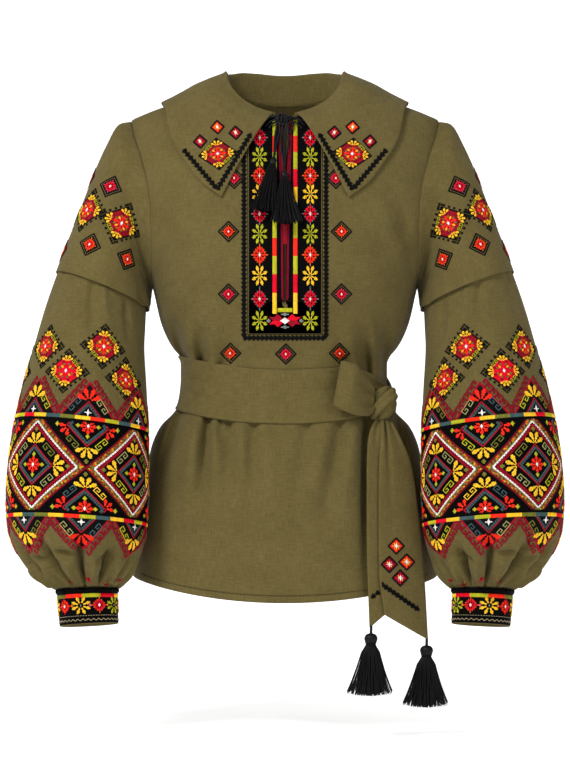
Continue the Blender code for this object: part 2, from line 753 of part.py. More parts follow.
def tassel(name, top, head, around, length, spread, lean=(0, 0)):
    points, faces = [], []
    for ring in head:
        for k in range(around):
            turn = 2 * pi * k / around
            points.append(Vector((ring.radius * cos(turn), ring.radius * sin(turn), -ring.down)))
    faces.append(tuple(range(around)))
    for row in range(len(head) - 1):
        for k in range(around):
            a, b = row * around + k, row * around + (k + 1) % around
            faces.append((a, a + around, b + around, b))
    rim = (len(head) - 1) * around
    ring_starts = [rim]
    for share in STRAND_RINGS:
        ring_starts.append(len(points))
        for k in range(around):
            points.append(Vector((points[rim + k].x * share, points[rim + k].y * share,
                                  points[rim + k].z)))
    centre = len(points)
    points.append(Vector((0, 0, -head[-1].down)))
    roots = []
    for outer, inner in zip(ring_starts, ring_starts[1:]):
        for k in range(around):
            after = (k + 1) % around
            roots.append((outer + k, inner + k, inner + after, outer + after))
    last = ring_starts[-1]
    for k in range(0, around, 2):
        roots.append((last + k, centre, last + (k + 2) % around, last + k + 1))
    end = Vector((0, 0, -length))
    for root in roots:
        corners = [points[i] for i in root]
        middle = sum(corners, Vector()) / 4
        flare = spread / head[-1].radius
        foot = end + Vector((middle.x * flare, middle.y * flare, 0))
        start = len(points)
        points += [middle + (corner - middle) * TASSEL_INSET for corner in corners]
        points += [foot + (corner - middle) * TASSEL_INSET * flare * STRAND_TAPER
                   for corner in corners]
        for k in range(4):
            after = (k + 1) % 4
            faces.append((root[k], root[after], start + after, start + k))
            faces.append((start + k, start + after, start + 4 + after, start + 4 + k))
        faces.append(tuple(start + 4 + k for k in range(4)))
    leaning = [point + Vector((lean[0], lean[1], 0)) * (-point.z / length) for point in points]
    return add_object(name, [point + top for point in leaning], faces, "silk")


def belt_tassel(label, tip):
    top = tip + Vector((0, BELT_CLOTH / 2, -SEAM - TASSEL_CLEAR))
    return tassel(f"belt_tassel_{label}", top, BELT_TASSEL_HEAD, BELT_TASSEL_SIDES,
                  length=BELT_TASSEL_LENGTH, spread=BELT_TASSEL_SPREAD, lean=(-2, 0))


# Neck tie.

def tie_cord(name, points):
    curve = bpy.data.curves.new(name, "CURVE")
    curve.dimensions = "3D"
    curve.bevel_depth = TIE_CORD / 2 * MM
    curve.bevel_resolution = 2
    curve.use_fill_caps = True
    spline = curve.splines.new("POLY")
    spline.points.add(len(points) - 1)
    for place, point in zip(spline.points, points):
        place.co = (*(Vector(point) * MM), 1.0)
    curve.materials.append(material("silk"))
    made = bpy.data.objects.new(name, curve)
    bpy.context.collection.objects.link(made)
    return made


def on_chest(x, z, lift):
    return Vector((x, -(body_depth(x, z) + lift), z))


def tie_route(row):
    """From under the knot down the chest, a little off it at both ends."""
    route = []
    for k in range(row.count):
        share = k / (row.count - 1)
        lift = (TIE_CORD / 2 + TIE_CLEAR + TIE_LIFT_TOP * (1 - share) ** 3
                + TIE_LIFT_FOOT * share ** 5)
        route.append(on_chest(row.start_x + (row.end_x - row.start_x) * share,
                              row.start_z + (row.end_z - row.start_z) * share, lift))
    return route


def neck_tie():
    rounded_lump("tie_knot", TIE_KNOT_MIDDLE, TIE_KNOT_HALF, KNOT_CREASES, "silk",
                 rings=7, around=12)
    below = Vector((0, 0, -SEAM - TIE_TASSEL_DROP))
    left = tie_route(TIE_LEFT)
    right = tie_route(TIE_RIGHT)
    tie_cord("tie_cord_left", left)
    tie_cord("tie_cord_right", right)
    tassel("tie_tassel_left", left[-1] + below, TIE_TASSEL_HEAD, TIE_TASSEL_SIDES,
           length=66, spread=11, lean=(-9, -34))
    tassel("tie_tassel_right", right[-1] + below, TIE_TASSEL_HEAD, TIE_TASSEL_SIDES,
           length=64, spread=13, lean=(3, -33))


panel("front", front=True)
panel("back", front=False)
for side_name, side_sign in (("left", -1), ("right", 1)):
    sleeve(side_name, side_sign)
collar()
belt_wrap()
belt_loop()
rounded_lump("belt_knot", KNOT_MIDDLE, KNOT_HALF, KNOT_CREASES, "linen")
belt_tail("belt_tail_left", TAIL_LEFT)
belt_tail("belt_tail_right", TAIL_RIGHT)
belt_tassel("left", tail_point(TAIL_LEFT[-1], 0) + Vector((TAIL_CORNER_INSET, 0, 0)))
belt_tassel("right", tail_point(TAIL_RIGHT[-1], 1) - Vector((TAIL_CORNER_INSET, 0, 0)))
neck_tie()
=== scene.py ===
"""An embroidered olive linen blouse, filled out as it is worn, with its collar, neck cords, sash
and tassels. Sizes are millimetres, seen from the front, until a mesh is made in metres."""

from collections import namedtuple
from math import atan2, cos, degrees, hypot, pi, radians, sin

import bpy
import numpy as np
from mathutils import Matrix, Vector
from mathutils.bvhtree import BVHTree


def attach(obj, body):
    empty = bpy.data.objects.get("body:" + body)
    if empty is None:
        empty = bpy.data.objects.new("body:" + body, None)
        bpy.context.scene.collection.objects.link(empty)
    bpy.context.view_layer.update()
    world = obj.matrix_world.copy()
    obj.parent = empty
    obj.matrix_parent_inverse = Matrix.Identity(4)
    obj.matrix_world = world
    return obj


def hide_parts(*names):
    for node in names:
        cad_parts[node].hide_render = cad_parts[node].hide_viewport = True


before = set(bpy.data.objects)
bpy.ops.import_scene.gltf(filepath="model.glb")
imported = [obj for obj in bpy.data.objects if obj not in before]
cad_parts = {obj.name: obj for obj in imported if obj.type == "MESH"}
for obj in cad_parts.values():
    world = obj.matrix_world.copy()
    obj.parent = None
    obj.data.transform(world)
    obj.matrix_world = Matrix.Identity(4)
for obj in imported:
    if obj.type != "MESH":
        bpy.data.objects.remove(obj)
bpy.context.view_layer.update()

MM = 0.001
SIDES = (("left", -1), ("right", 1))


def table(kind, rows):
    return [kind(*row) for row in rows]


def placed(name, data):
    """A new object of the scene, at its origin."""
    made = bpy.data.objects.new(name, data)
    bpy.context.collection.objects.link(made)
    return made


def wired(tree, *wires):
    """Links nodes of a tree: each wire runs from a node's output to another's input."""
    for start, output, end, socket in wires:
        tree.links.new(start.outputs[output], end.inputs[socket])


# ---------------------------------------------------------------------------------------------
# Camera, floor and light. The blouse hangs upright at eye level in front of a white sweep, and
# the lens is long, as in a shop's studio.

CAMERA_DISTANCE = 3.5
CAMERA_HEIGHT = -0.342
VIEW_HEIGHT = 0.950          # what the frame's height covers at the blouse's side seams
FLOOR_HEIGHT = -0.775

camera_data = bpy.data.cameras.new("camera")
camera_data.sensor_fit = "VERTICAL"
camera_data.sensor_height = 36
camera_data.lens = 36 * CAMERA_DISTANCE / VIEW_HEIGHT
camera = placed("camera", camera_data)
camera.location = (0, -CAMERA_DISTANCE, CAMERA_HEIGHT)
camera.rotation_euler = (radians(90), 0, 0)
bpy.context.scene.camera = camera


def material(name, values):
    """A new material, its tree and its shader, whose inputs take the values."""
    made = bpy.data.materials.new(name)
    made.use_nodes = True
    shader = made.node_tree.nodes["Principled BSDF"]
    for label, value in values.items():
        shader.inputs[label].default_value = value
    return made, made.node_tree, shader


def floor_sweep():
    """A floor that curves up into a backdrop, which has a brighter paper of its own."""
    reach, paper_edge, back, radius, steps, top = 9.0, 1.3, 9.0, 2.5, 12, 7.0
    profile = [(-reach, 0), (paper_edge, 0), (back - radius, 0)]
    profile += [(back - radius + radius * sin(pi / 2 * k / steps),
                 radius - radius * cos(pi / 2 * k / steps)) for k in range(1, steps + 1)]
    profile.append((back, top))
    points = [(x, y, FLOOR_HEIGHT + z) for y, z in profile for x in (-reach, reach)]
    faces = [(2 * k, 2 * k + 1, 2 * k + 3, 2 * k + 2) for k in range(len(profile) - 1)]
    mesh = bpy.data.meshes.new("floor")
    mesh.from_pydata(points, [], faces)
    mesh.shade_smooth()
    for name, glow in (("floor_paper", 0.56), ("backdrop_paper", 0.66)):
        paper, _, _ = material(name, {"Base Color": (0.93, 0.93, 0.93, 1), "Roughness": 0.9,
                                      "Emission Color": (1, 1, 1, 1), "Emission Strength": glow})
        mesh.materials.append(paper)
    for face in mesh.polygons[1:]:
        face.material_index = 1
    placed("floor", mesh)


def area_light(name, place, target, size, power):
    light = bpy.data.lights.new(name, "AREA")
    light.shape = "RECTANGLE"
    light.size, light.size_y = size
    light.energy = power
    made = placed(name, light)
    made.location = place
    made.rotation_euler = (Vector(target) - Vector(place)).to_track_quat("-Z", "Y").to_euler()


floor_sweep()
area_light("key_light", (-1.7, -2.0, 1.8), (0, 0, -0.3), (0.9, 0.9), 96)
area_light("fill_light", (2.3, -2.4, 0.7), (0, 0, -0.3), (1.2, 1.6), 27)
world = bpy.data.worlds.new("studio")
world.use_nodes = True
world.node_tree.nodes["Background"].inputs["Color"].default_value = (1, 1, 1, 1)
world.node_tree.nodes["Background"].inputs["Strength"].default_value = 0.40
bpy.context.scene.world = world
bpy.context.scene.view_settings.view_transform = "Standard"

# ---------------------------------------------------------------------------------------------
# Linen. Every panel is cut from one cloth: a plain weave of olive thread with slubs, a little
# uneven in its dye, that takes light softly.

def shader_group(name, inputs, outputs):
    """A shader node group with named number or vector inputs and named outputs."""
    tree = bpy.data.node_groups.new(name, "ShaderNodeTree")
    for label, kind, value in inputs:
        socket = tree.interface.new_socket(label, in_out="INPUT", socket_type=kind)
        if value is not None:
            socket.default_value = value
    for label, kind in outputs:
        tree.interface.new_socket(label, in_out="OUTPUT", socket_type=kind)
    return tree, tree.nodes.new("NodeGroupInput"), tree.nodes.new("NodeGroupOutput")


def maths(tree, operation, first, second=None):
    node = tree.nodes.new("ShaderNodeMath")
    node.operation = operation
    for socket, value in zip(node.inputs, (first, second)):
        if isinstance(value, (int, float)):
            socket.default_value = value
        elif value is not None:
            tree.links.new(value, socket)
    return node.outputs[0]


def noise(tree, vector, scale, detail=2.0):
    node = tree.nodes.new("ShaderNodeTexNoise")
    node.inputs["Scale"].default_value = scale
    node.inputs["Detail"].default_value = detail
    tree.links.new(vector, node.inputs["Vector"])
    return node.outputs["Fac"]


def stretched(tree, vector, across, along):
    """Coordinates in units of a mark's own width and length."""
    node = tree.nodes.new("ShaderNodeMapping")
    node.inputs["Scale"].default_value = (1 / across, 1 / along, 1)
    tree.links.new(vector, node.inputs["Vector"])
    return node.outputs["Vector"]


def ramp(tree, factor, stops):
    node = tree.nodes.new("ShaderNodeValToRGB")
    elements = node.color_ramp.elements
    while len(elements) < len(stops):
        elements.new(0.5)
    for element, (place, colour) in zip(elements, stops):
        element.position = place
        element.color = (*colour, 1)
    tree.links.new(factor, node.inputs["Fac"])
    return node.outputs["Color"]


def uv_places(tree, layer):
    node = tree.nodes.new("ShaderNodeUVMap")
    node.uv_map = layer
    return node.outputs["UV"]


def split(tree, vector):
    node = tree.nodes.new("ShaderNodeSeparateXYZ")
    tree.links.new(vector, node.inputs[0])
    return node.outputs["X"], node.outputs["Y"]


def ridges(tree, place):
    """A rounded ridge for each unit of a place."""
    return maths(tree, "ABSOLUTE", maths(tree, "SINE", maths(tree, "MULTIPLY", place, pi)))


def bumped(tree, shader, height, strength, distance):
    """Lets a height turn a shader's normal."""
    bump = tree.nodes.new("ShaderNodeBump")
    bump.inputs["Strength"].default_value = strength
    bump.inputs["Distance"].default_value = distance
    tree.links.new(height, bump.inputs["Height"])
    tree.links.new(bump.outputs["Normal"], shader.inputs["Normal"])


def plain_weave():
    """Over and under threads on the cloth's own coordinates, which are metres."""
    tree, given, made = shader_group(
        "plain_weave",
        [("Cloth", "NodeSocketVector", None), ("Thread pitch", "NodeSocketFloat", 0.0007),
         ("Slub length", "NodeSocketFloat", 0.012)],
        [("Height", "NodeSocketFloat"), ("Slubs", "NodeSocketFloat"), ("Dye", "NodeSocketFloat")])
    x, y = split(tree, given.outputs["Cloth"])
    across = maths(tree, "DIVIDE", x, given.outputs["Thread pitch"])
    along = maths(tree, "DIVIDE", y, given.outputs["Thread pitch"])
    warp, weft = ridges(tree, across), ridges(tree, along)
    cell = maths(tree, "ADD", maths(tree, "FLOOR", across), maths(tree, "FLOOR", along))
    over = maths(tree, "FLOORED_MODULO", cell, 2.0)
    warp_up = maths(tree, "MULTIPLY", warp, maths(tree, "POWER", weft, 0.35))
    weft_up = maths(tree, "MULTIPLY", weft, maths(tree, "POWER", warp, 0.35))
    warp_share = maths(tree, "MULTIPLY", warp_up, over)
    weft_share = maths(tree, "MULTIPLY", weft_up, maths(tree, "SUBTRACT", 1.0, over))
    slub_across = maths(tree, "DIVIDE", given.outputs["Thread pitch"], 0.45)
    slubs = []
    for first, second in ((slub_across, given.outputs["Slub length"]),
                          (given.outputs["Slub length"], slub_across)):
        joined = tree.nodes.new("ShaderNodeCombineXYZ")
        tree.links.new(maths(tree, "DIVIDE", x, first), joined.inputs["X"])
        tree.links.new(maths(tree, "DIVIDE", y, second), joined.inputs["Y"])
        slubs.append(noise(tree, joined.outputs[0], 1.0))
    slub = maths(tree, "MULTIPLY", maths(tree, "ADD", slubs[0], slubs[1]), 0.5)
    height = maths(tree, "ADD", maths(tree, "ADD", warp_share, weft_share),
                   maths(tree, "MULTIPLY", slub, 1.6))
    tree.links.new(height, made.inputs["Height"])
    tree.links.new(slub, made.inputs["Slubs"])
    tree.links.new(noise(tree, given.outputs["Cloth"], 22.0, 3.0), made.inputs["Dye"])
    return tree


WEAVE = plain_weave()
LINEN_DARK = (0.074, 0.056, 0.0158)
LINEN_LIGHT = (0.134, 0.104, 0.036)


def linen(name, dark, light, weave_depth):
    made, tree, shader = material(name, {"Specular IOR Level": 0.08, "Sheen Weight": 0.04,
                                         "Sheen Roughness": 0.5})
    weave = tree.nodes.new("ShaderNodeGroup")
    weave.node_tree = WEAVE
    tree.links.new(uv_places(tree, "cloth"), weave.inputs["Cloth"])
    shade = maths(tree, "ADD", maths(tree, "MULTIPLY", weave.outputs["Slubs"], 0.75),
                  maths(tree, "MULTIPLY", weave.outputs["Dye"], 0.25))
    tree.links.new(ramp(tree, shade, [(0.3, dark), (0.7, light)]), shader.inputs["Base Color"])
    bumped(tree, shader, weave.outputs["Height"], 0.55, weave_depth)
    rough = maths(tree, "SUBTRACT", 0.97, maths(tree, "MULTIPLY", weave.outputs["Slubs"], 0.15))
    tree.links.new(rough, shader.inputs["Roughness"])
    return made


LINEN = linen("olive_linen", LINEN_DARK, LINEN_LIGHT, 0.00022)


# ---------------------------------------------------------------------------------------------
# Front and back. Two panels of linen sewn at the shoulders and sides: darted over the bust,
# drawn in by the sash, and let out below it. The front is slit down its middle from the neck.

CLOTH = 1.3
SEAM = 0.4
NECK_HALF_WIDTH, NECK_TOP, NECK_FRONT_DROP, NECK_BACK_DROP = 72.0, 27.0, 45.0, 22.0
SHOULDER_TIP_X, SHOULDER_TIP_Z = 192.0, -19.0
UNDERARM_Z, WAIST_Z, PEPLUM_TOP_Z, HEM_CENTRE_Z = -228.0, -345.0, -398.0, -610.0
HEM_SIDE_RISE = 24.0
SLIT_END_Z, SLIT_OPEN_Z, SLIT_WIDE_Z = -250.0, -105.0, -20.0

Section = namedtuple("Section", "z half_width front_depth back_depth power")
BODY = table(Section, [
    (-660, 195, 136, 132, 2.05), (-590, 190, 132, 128, 2.05), (-492, 180, 126, 121, 2.05),
    (-450, 172, 120, 114, 2.1), (-426, 167, 114, 109, 2.15), (-410, 161, 108, 105, 2.2),
    (-398, 154, 103, 100, 2.2), (-384, 140, 99, 93, 2.2), (-372, 132, 98, 89, 2.2),
    (-358, 129, 97, 87, 2.2), (-340, 127.5, 97, 86, 2.2), (-322, 127.5, 97.5, 86.5, 2.2),
    (-312, 131.5, 99, 87, 2.2), (-304, 138.5, 101, 88, 2.2), (-290, 147, 105, 90, 2.2),
    (-270, 155, 111, 94, 2.25), (-228, 165, 122, 99, 2.3), (-190, 178, 127, 105, 2.3),
    (-150, 189, 120, 108, 2.35), (-110, 196, 108, 106, 2.4), (-70, 198, 91, 99, 2.4),
    (-40, 196.5, 75, 88, 2.3), (-19, 192, 62, 78, 2.2), (-11, 177, 58, 74, 2.1),
    (-2, 154, 54, 68, 2.0), (8, 123, 49, 61, 2.0), (NECK_TOP, NECK_HALF_WIDTH, 41, 46, 2.0),
])

ArmholePlace = namedtuple("ArmholePlace", "z x")
ARMHOLE = table(ArmholePlace, [
    (UNDERARM_Z, 165), (-180, 164), (-135, 165), (-103, 168.5), (-70, 176.5), (-40, 186.5),
    (SHOULDER_TIP_Z, SHOULDER_TIP_X),
])

# A crease runs from its root, where it is sharpest, to its end, where it dies away.
Crease = namedtuple("Crease", "root_x root_z end_x end_z root_width end_width height")
FRONT_CREASES = table(Crease, [
    (-130, -380, -158, -470, 5, 12, -18.0), (-112, -398, -124, -540, 7, 20, 9.0),
    (-94, -382, -101, -510, 4.2, 12, -17.0), (-86, -402, -90, -560, 5, 16, 6.0),
    (-79, -386, -78, -430, 3, 7, -9.0), (-69, -388, -64, -490, 4.2, 14, -12.0),
    (-54, -402, -50, -500, 5, 12, 4.4), (-38, -392, -40, -540, 5, 18, -8.0),
    (-20, -407, -20, -520, 8, 18, 3.6), (98, -384, 99, -640, 5.0, 9, -18.0),
    (86, -398, 62, -545, 5, 17, 6.0), (68, -388, 40, -560, 4.6, 16, -9.0),
    (50, -406, 18, -545, 7, 22, 4.4), (26, -394, 4, -560, 6, 22, -6.0),
    (128, -398, 140, -520, 8, 16, 7.0), (140, -384, 156, -560, 5, 12, -17.0),
    (-124, -326, -142, -264, 4.4, 8, -26.0), (-113, -328, -124, -240, 4.0, 10, 8.0),
    (-101, -328, -108, -268, 3.6, 8, -12.0), (-91, -330, -86, -268, 4.0, 9, 6.0),
    (-80, -331, -64, -290, 3.2, 8, -7.0), (-66, -331, -44, -296, 4.0, 9, 3.4),
    (126, -352, 120, -250, 4.0, 10, -19.0), (115, -345, 108, -262, 4.4, 10, 7.5),
    (102, -342, 92, -262, 4.0, 10, -13.0), (90, -334, 74, -272, 4.0, 10, 5.4),
    (78, -330, 56, -288, 3.6, 9, -6.0), (-150, -232, -118, -218, 2.6, 8, -2.6),
    (150, -232, 120, -218, 2.6, 8, -2.6), (-158, -214, -126, -96, 9, 16, -6.5),
    (-144, -190, -102, -88, 9, 16, 5.0), (158, -214, 128, -96, 9, 16, -6.0),
    (146, -190, 104, -90, 9, 16, 4.6), (-150, -150, -96, -210, 8, 22, -3.0),
    (150, -150, 96, -208, 8, 22, -3.0), (84, -318, 60, -226, 10, 24, -1.8),
    (-76, -318, -66, -232, 10, 22, -1.6),
])
BACK_CREASES = table(Crease, [
    (-120, -398, -124, -520, 9, 20, 4.2), (-99, -400, -100, -500, 6, 14, -4.2),
    (-78, -402, -76, -540, 9, 22, 4.5), (-54, -402, -52, -520, 6, 16, -3.6),
    (-30, -404, -30, -550, 9, 22, 3.5), (-2, -404, 0, -520, 7, 18, -3.6),
    (26, -404, 28, -550, 9, 22, 4.0), (50, -402, 53, -500, 6, 15, -3.6),
    (74, -402, 78, -530, 9, 22, 4.0), (97, -400, 100, -510, 6, 14, -4.2),
    (118, -398, 124, -520, 9, 20, 4.5), (-70, -330, -74, -225, 6, 16, 3.0),
    (-48, -332, -46, -240, 5, 13, -3.2), (-24, -332, -22, -215, 6, 17, 2.5),
    (4, -332, 2, -235, 5, 14, -3.0), (30, -332, 32, -220, 6, 17, 3.0),
    (55, -332, 58, -245, 5, 13, -3.2), (78, -330, 84, -228, 6, 16, 2.5),
    (-96, -330, -104, -250, 5, 12, -3.4), (102, -330, 108, -255, 5, 12, -3.4),
    (-155, -205, -118, -85, 12, 20, -3.2), (155, -205, 122, -80, 12, 20, -3.2),
    (-90, -60, 90, -66, 18, 18, 1.2),
])


def cubic(t, start, end, start_slope, end_slope):
    """A smooth run between two values, from its slopes at both."""
    return ((1 + 2 * t) * (1 - t) ** 2 * start + t * (1 - t) ** 2 * start_slope
            + t * t * (3 - 2 * t) * end + t * t * (t - 1) * end_slope)


def read(rows, place, column, keys=None):
    """A column's smooth value at many places: a cubic through the rows, level past the ends."""
    keys = np.array([row[0] for row in rows] if keys is None else keys, float)
    values = np.array([getattr(row, column) for row in rows], float)
    widths, slopes = np.diff(keys), np.zeros(len(keys))
    rises = np.diff(values) / widths
    before, after = rises[:-1], rises[1:]
    total = np.where(before + after == 0, 1, before + after)
    slopes[1:-1] = np.where(before * after > 0, 2 * before * after / total, 0)
    slopes[0], slopes[-1] = rises[0], rises[-1]
    place = np.clip(place, keys[0], keys[-1])
    i = np.clip(np.searchsorted(keys, place, side="right") - 1, 0, len(keys) - 2)
    width = widths[i]
    return cubic((place - keys[i]) / width, values[i], values[i + 1],
                 width * slopes[i], width * slopes[i + 1])


def round_turns(count):
    """Even turns right round a ring, in radians."""
    return 2 * pi * np.arange(count) / count


def ball(rings, around):
    """Points of a ball one unit in radius, a row for each ring of it."""
    tilt = np.linspace(0.02, pi - 0.02, rings)[:, None]
    turn = round_turns(around)[None, :]
    return np.stack(np.broadcast_arrays(np.sin(tilt) * np.cos(turn), np.sin(tilt) * np.sin(turn),
                                        np.cos(tilt)), -1)


def smooth_step(low, high, place):
    t = np.clip((place - low) / (high - low), 0.0, 1.0)
    return t * t * (3 - 2 * t)


def body_depth(x, z, front=True):
    """How far the body lies from the plane y = 0, at places across and up it."""
    width = read(BODY, z, "half_width")
    depth = read(BODY, z, "front_depth" if front else "back_depth")
    power = read(BODY, z, "power")
    across = np.minimum(np.abs(x) / width, 1.0)
    return depth * (1 - across ** power) ** (1 / power)


def creases_at(creases, x, z):
    """How far a table of creases moves the cloth out."""
    total = np.zeros(np.broadcast(x, z).shape)
    for crease in creases:
        run_x, run_z = crease.end_x - crease.root_x, crease.end_z - crease.root_z
        length = hypot(run_x, run_z)
        along = ((x - crease.root_x) * run_x + (z - crease.root_z) * run_z) / length ** 2
        off = ((x - crease.root_x) * run_z - (z - crease.root_z) * run_x) / length
        share = np.clip(along, 0, 1)
        width = crease.root_width + (crease.end_width - crease.root_width) * share
        fade = smooth_step(-0.12, 0.06, along) * (1 - smooth_step(0.25, 1.05, along))
        total += crease.height * fade * np.exp(-(off / width) ** 2)
    return total


def top_height(x, front):
    """The height of a panel's upper edge: the neckline, then the shoulder seam."""
    drop = NECK_FRONT_DROP if front else NECK_BACK_DROP
    neckline = NECK_TOP - drop * np.sqrt(np.maximum(0, 1 - (x / NECK_HALF_WIDTH) ** 2))
    heights = np.linspace(SHOULDER_TIP_Z, NECK_TOP, 200)
    widths = read(BODY, heights, "half_width")
    shoulder = np.interp(x, widths[::-1], heights[::-1])
    return np.where(x <= NECK_HALF_WIDTH, neckline, shoulder)


def slit_half_width(z):
    return np.where(z > SLIT_END_Z, 0.35 + 3.7 * smooth_step(SLIT_OPEN_Z, SLIT_WIDE_Z, z), 0.0)


def spread_quads(index):
    """Faces between the points of a grid whose entries are point numbers."""
    return np.stack([index[:-1, :-1], index[1:, :-1], index[1:, 1:], index[:-1, 1:]],
                    -1).reshape(-1, 4)


def face_normals(points, faces):
    corners = points[faces]
    return np.cross(corners[:, 2] - corners[:, 0], corners[:, 3] - corners[:, 1])


def point_normals(points, faces):
    normals = np.zeros_like(points)
    flat = face_normals(points, faces)
    for corner in range(4):
        np.add.at(normals, faces[:, corner], flat)
    return normals / np.maximum(np.linalg.norm(normals, axis=1), 1e-12)[:, None]


def thicken(points, faces, thickness):
    """A closed wall with rounded rims: the face, the same face inside it, and its open edges."""
    count = len(points)
    normals = point_normals(points, faces)
    starts, ends = faces.ravel(), np.roll(faces, -1, axis=1).ravel()
    codes = starts * count + ends
    rim = ~np.isin(codes, ends * count + starts)
    starts, ends = starts[rim], ends[rim]
    outward = np.zeros_like(points)
    away = np.cross(points[ends] - points[starts], normals[starts])
    np.add.at(outward, starts, away)
    np.add.at(outward, ends, away)
    edge = np.unique(starts)
    outward = outward[edge] / np.maximum(np.linalg.norm(outward[edge], axis=1), 1e-12)[:, None]
    middle = points[edge] - normals[edge] * thickness / 2 + outward * thickness * 0.42
    place = np.full(count, -1)
    place[edge] = 2 * count + np.arange(len(edge))
    walls = [faces, faces[:, ::-1] + count,
             np.stack([ends, starts, place[starts], place[ends]], -1),
             np.stack([place[ends], place[starts], starts + count, ends + count], -1)]
    source = np.concatenate([np.arange(count), np.arange(count), edge])
    return np.concatenate([points, points - normals * thickness, middle]), walls, source


def piece(name, mesh, slot, finish=None):
    """A finished piece of the blouse."""
    made = placed(name, mesh)
    if finish:
        mesh.materials.append(finish)
    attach(made, "root")
    return made


def cloth_piece(name, points, faces, cloth, thickness, corners=None, finish=None, slot="linen"):
    """A wall of cloth. cloth gives each point's place on the flat cloth, in metres; corners,
    where a tube's seam needs it, gives each face corner its own."""
    points = np.asarray(points, float)
    wall, walls, source = thicken(points, faces, thickness)
    mesh = bpy.data.meshes.new(name)
    all_faces = np.concatenate(walls)
    mesh.from_pydata((wall * MM).tolist(), [], all_faces.tolist())
    layer = mesh.uv_layers.new(name="cloth")
    places = cloth[source][all_faces]
    if corners is not None:
        count = len(faces)
        places[:count] = corners
        places[count:2 * count] = corners[:, ::-1]
    layer.data.foreach_set("uv", places.reshape(-1))
    mesh.shade_smooth()
    mesh.update()
    return piece(name, mesh, slot, finish or LINEN)


def cloth_places(grid):
    """Each grid point's place on the flat cloth: how far across its row, and down its column."""
    across = np.cumsum(np.linalg.norm(np.diff(grid, axis=1, prepend=grid[:, :1]), axis=2), axis=1)
    across -= across[:, grid.shape[1] // 2][:, None]
    down = np.linalg.norm(np.diff(grid, axis=0, prepend=grid[:1]), axis=2).mean(axis=1)
    down = np.broadcast_to(np.cumsum(down)[:, None], across.shape)
    return np.stack([across, -down], -1) * MM


def grid_piece(name, grid, thickness, index=None, keep=None, wrap=False, flip=False, finish=None,
               slot="linen", cloth=None):
    """A piece from a grid of points. wrap joins its last column to its first."""
    rows, columns = grid.shape[:2]
    if index is None:
        index = np.arange(rows * columns).reshape(rows, columns)
    corners = None
    if wrap:
        index = np.column_stack([index, index[:, 0]])
        closed = np.concatenate([grid, grid[:, :1]], axis=1)
        spread = cloth_places(closed)
        order = np.arange(rows * (columns + 1)).reshape(rows, columns + 1)
        corners = spread.reshape(-1, 2)[spread_quads(order)]
        cloth = spread[:, :columns].reshape(-1, 2)
    else:
        cloth = (cloth_places(grid) if cloth is None else cloth).reshape(-1, 2)
    faces = spread_quads(index)
    if keep is not None:
        faces = faces[keep]
    if flip:
        faces = faces[:, ::-1]
        corners = None if corners is None else corners[:, ::-1]
    points = grid.reshape(-1, 3)
    used = np.unique(faces)
    number = np.full(len(points), -1)
    number[used] = np.arange(len(used))
    return cloth_piece(name, points[used], number[faces], cloth[used], thickness, corners, finish,
                       slot)


YOKE_STEPS, SKIRT_STEPS = 52, 92
SEAM_DIP, SEAM_DIP_WIDTH = 0.9, 2.2


def panel_grid(half_columns, front):
    """Places over a whole panel, with its middle column twice, so that the front can open."""
    half = np.sin(pi / 2 * np.arange(half_columns + 1) / half_columns)
    share = np.concatenate([-half[::-1], half])[None, :]
    size = np.abs(share)
    step = ((1 - np.cos(pi * np.arange(YOKE_STEPS + 1) / YOKE_STEPS)) / 2)[:, None]
    top = top_height(size * SHOULDER_TIP_X, front)
    yoke_z = top + (UNDERARM_Z - top) * step
    armhole = read(ARMHOLE, SHOULDER_TIP_Z + (UNDERARM_Z - SHOULDER_TIP_Z) * step, "x")
    yoke_x = share * armhole
    flat = np.linspace(UNDERARM_Z, HEM_CENTRE_Z, SKIRT_STEPS + 1)[1:, None]
    below = np.maximum(PEPLUM_TOP_Z - flat, 0) / (PEPLUM_TOP_Z - HEM_CENTRE_Z)
    skirt_z = flat + HEM_SIDE_RISE * size ** 2 * below
    skirt_x = share * read(BODY, skirt_z, "half_width")
    x, z = np.concatenate([yoke_x, skirt_x]), np.concatenate([yoke_z, skirt_z])
    away = np.abs(np.concatenate([armhole * np.ones_like(share),
                                  read(BODY, skirt_z, "half_width")]) * (1 - size))
    depth = body_depth(x, z, front)
    creases = creases_at(FRONT_CREASES if front else BACK_CREASES, x, z)
    depth = depth + creases * (1 - size ** 24) - SEAM_DIP * np.exp(-(away / SEAM_DIP_WIDTH) ** 2)
    depth = np.maximum(depth, SEAM / 2)
    if front:
        x = x + np.repeat([-1, 1], half_columns + 1)[None, :] * slit_half_width(z) * (size < 1e-6)
    return np.stack([x, -depth if front else depth, z], -1)


def panel(name, half_columns, front):
    grid = panel_grid(half_columns, front)
    rows, columns = grid.shape[:2]
    index = np.arange(rows * columns).reshape(rows, columns)
    middle = half_columns
    joined = grid[:, middle, 2] <= SLIT_END_Z if front else np.full(rows, True)
    index[joined, middle + 1] = index[joined, middle]
    keep = np.full((rows - 1, columns - 1), True)
    keep[:, middle] = False
    made = grid_piece(name, grid, CLOTH, index, keep.ravel(), flip=not front)
    return made, grid


front_panel, front_grid = panel("front_panel", 52, True)
back_panel, _ = panel("back_panel", 44, False)
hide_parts("front")
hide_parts("back")


# ---------------------------------------------------------------------------------------------
# Sleeves. Each has two tiers: a short cap that ends in a hem at the elbow's height, and under it
# a full bishop sleeve, gathered tightly onto its cuff.

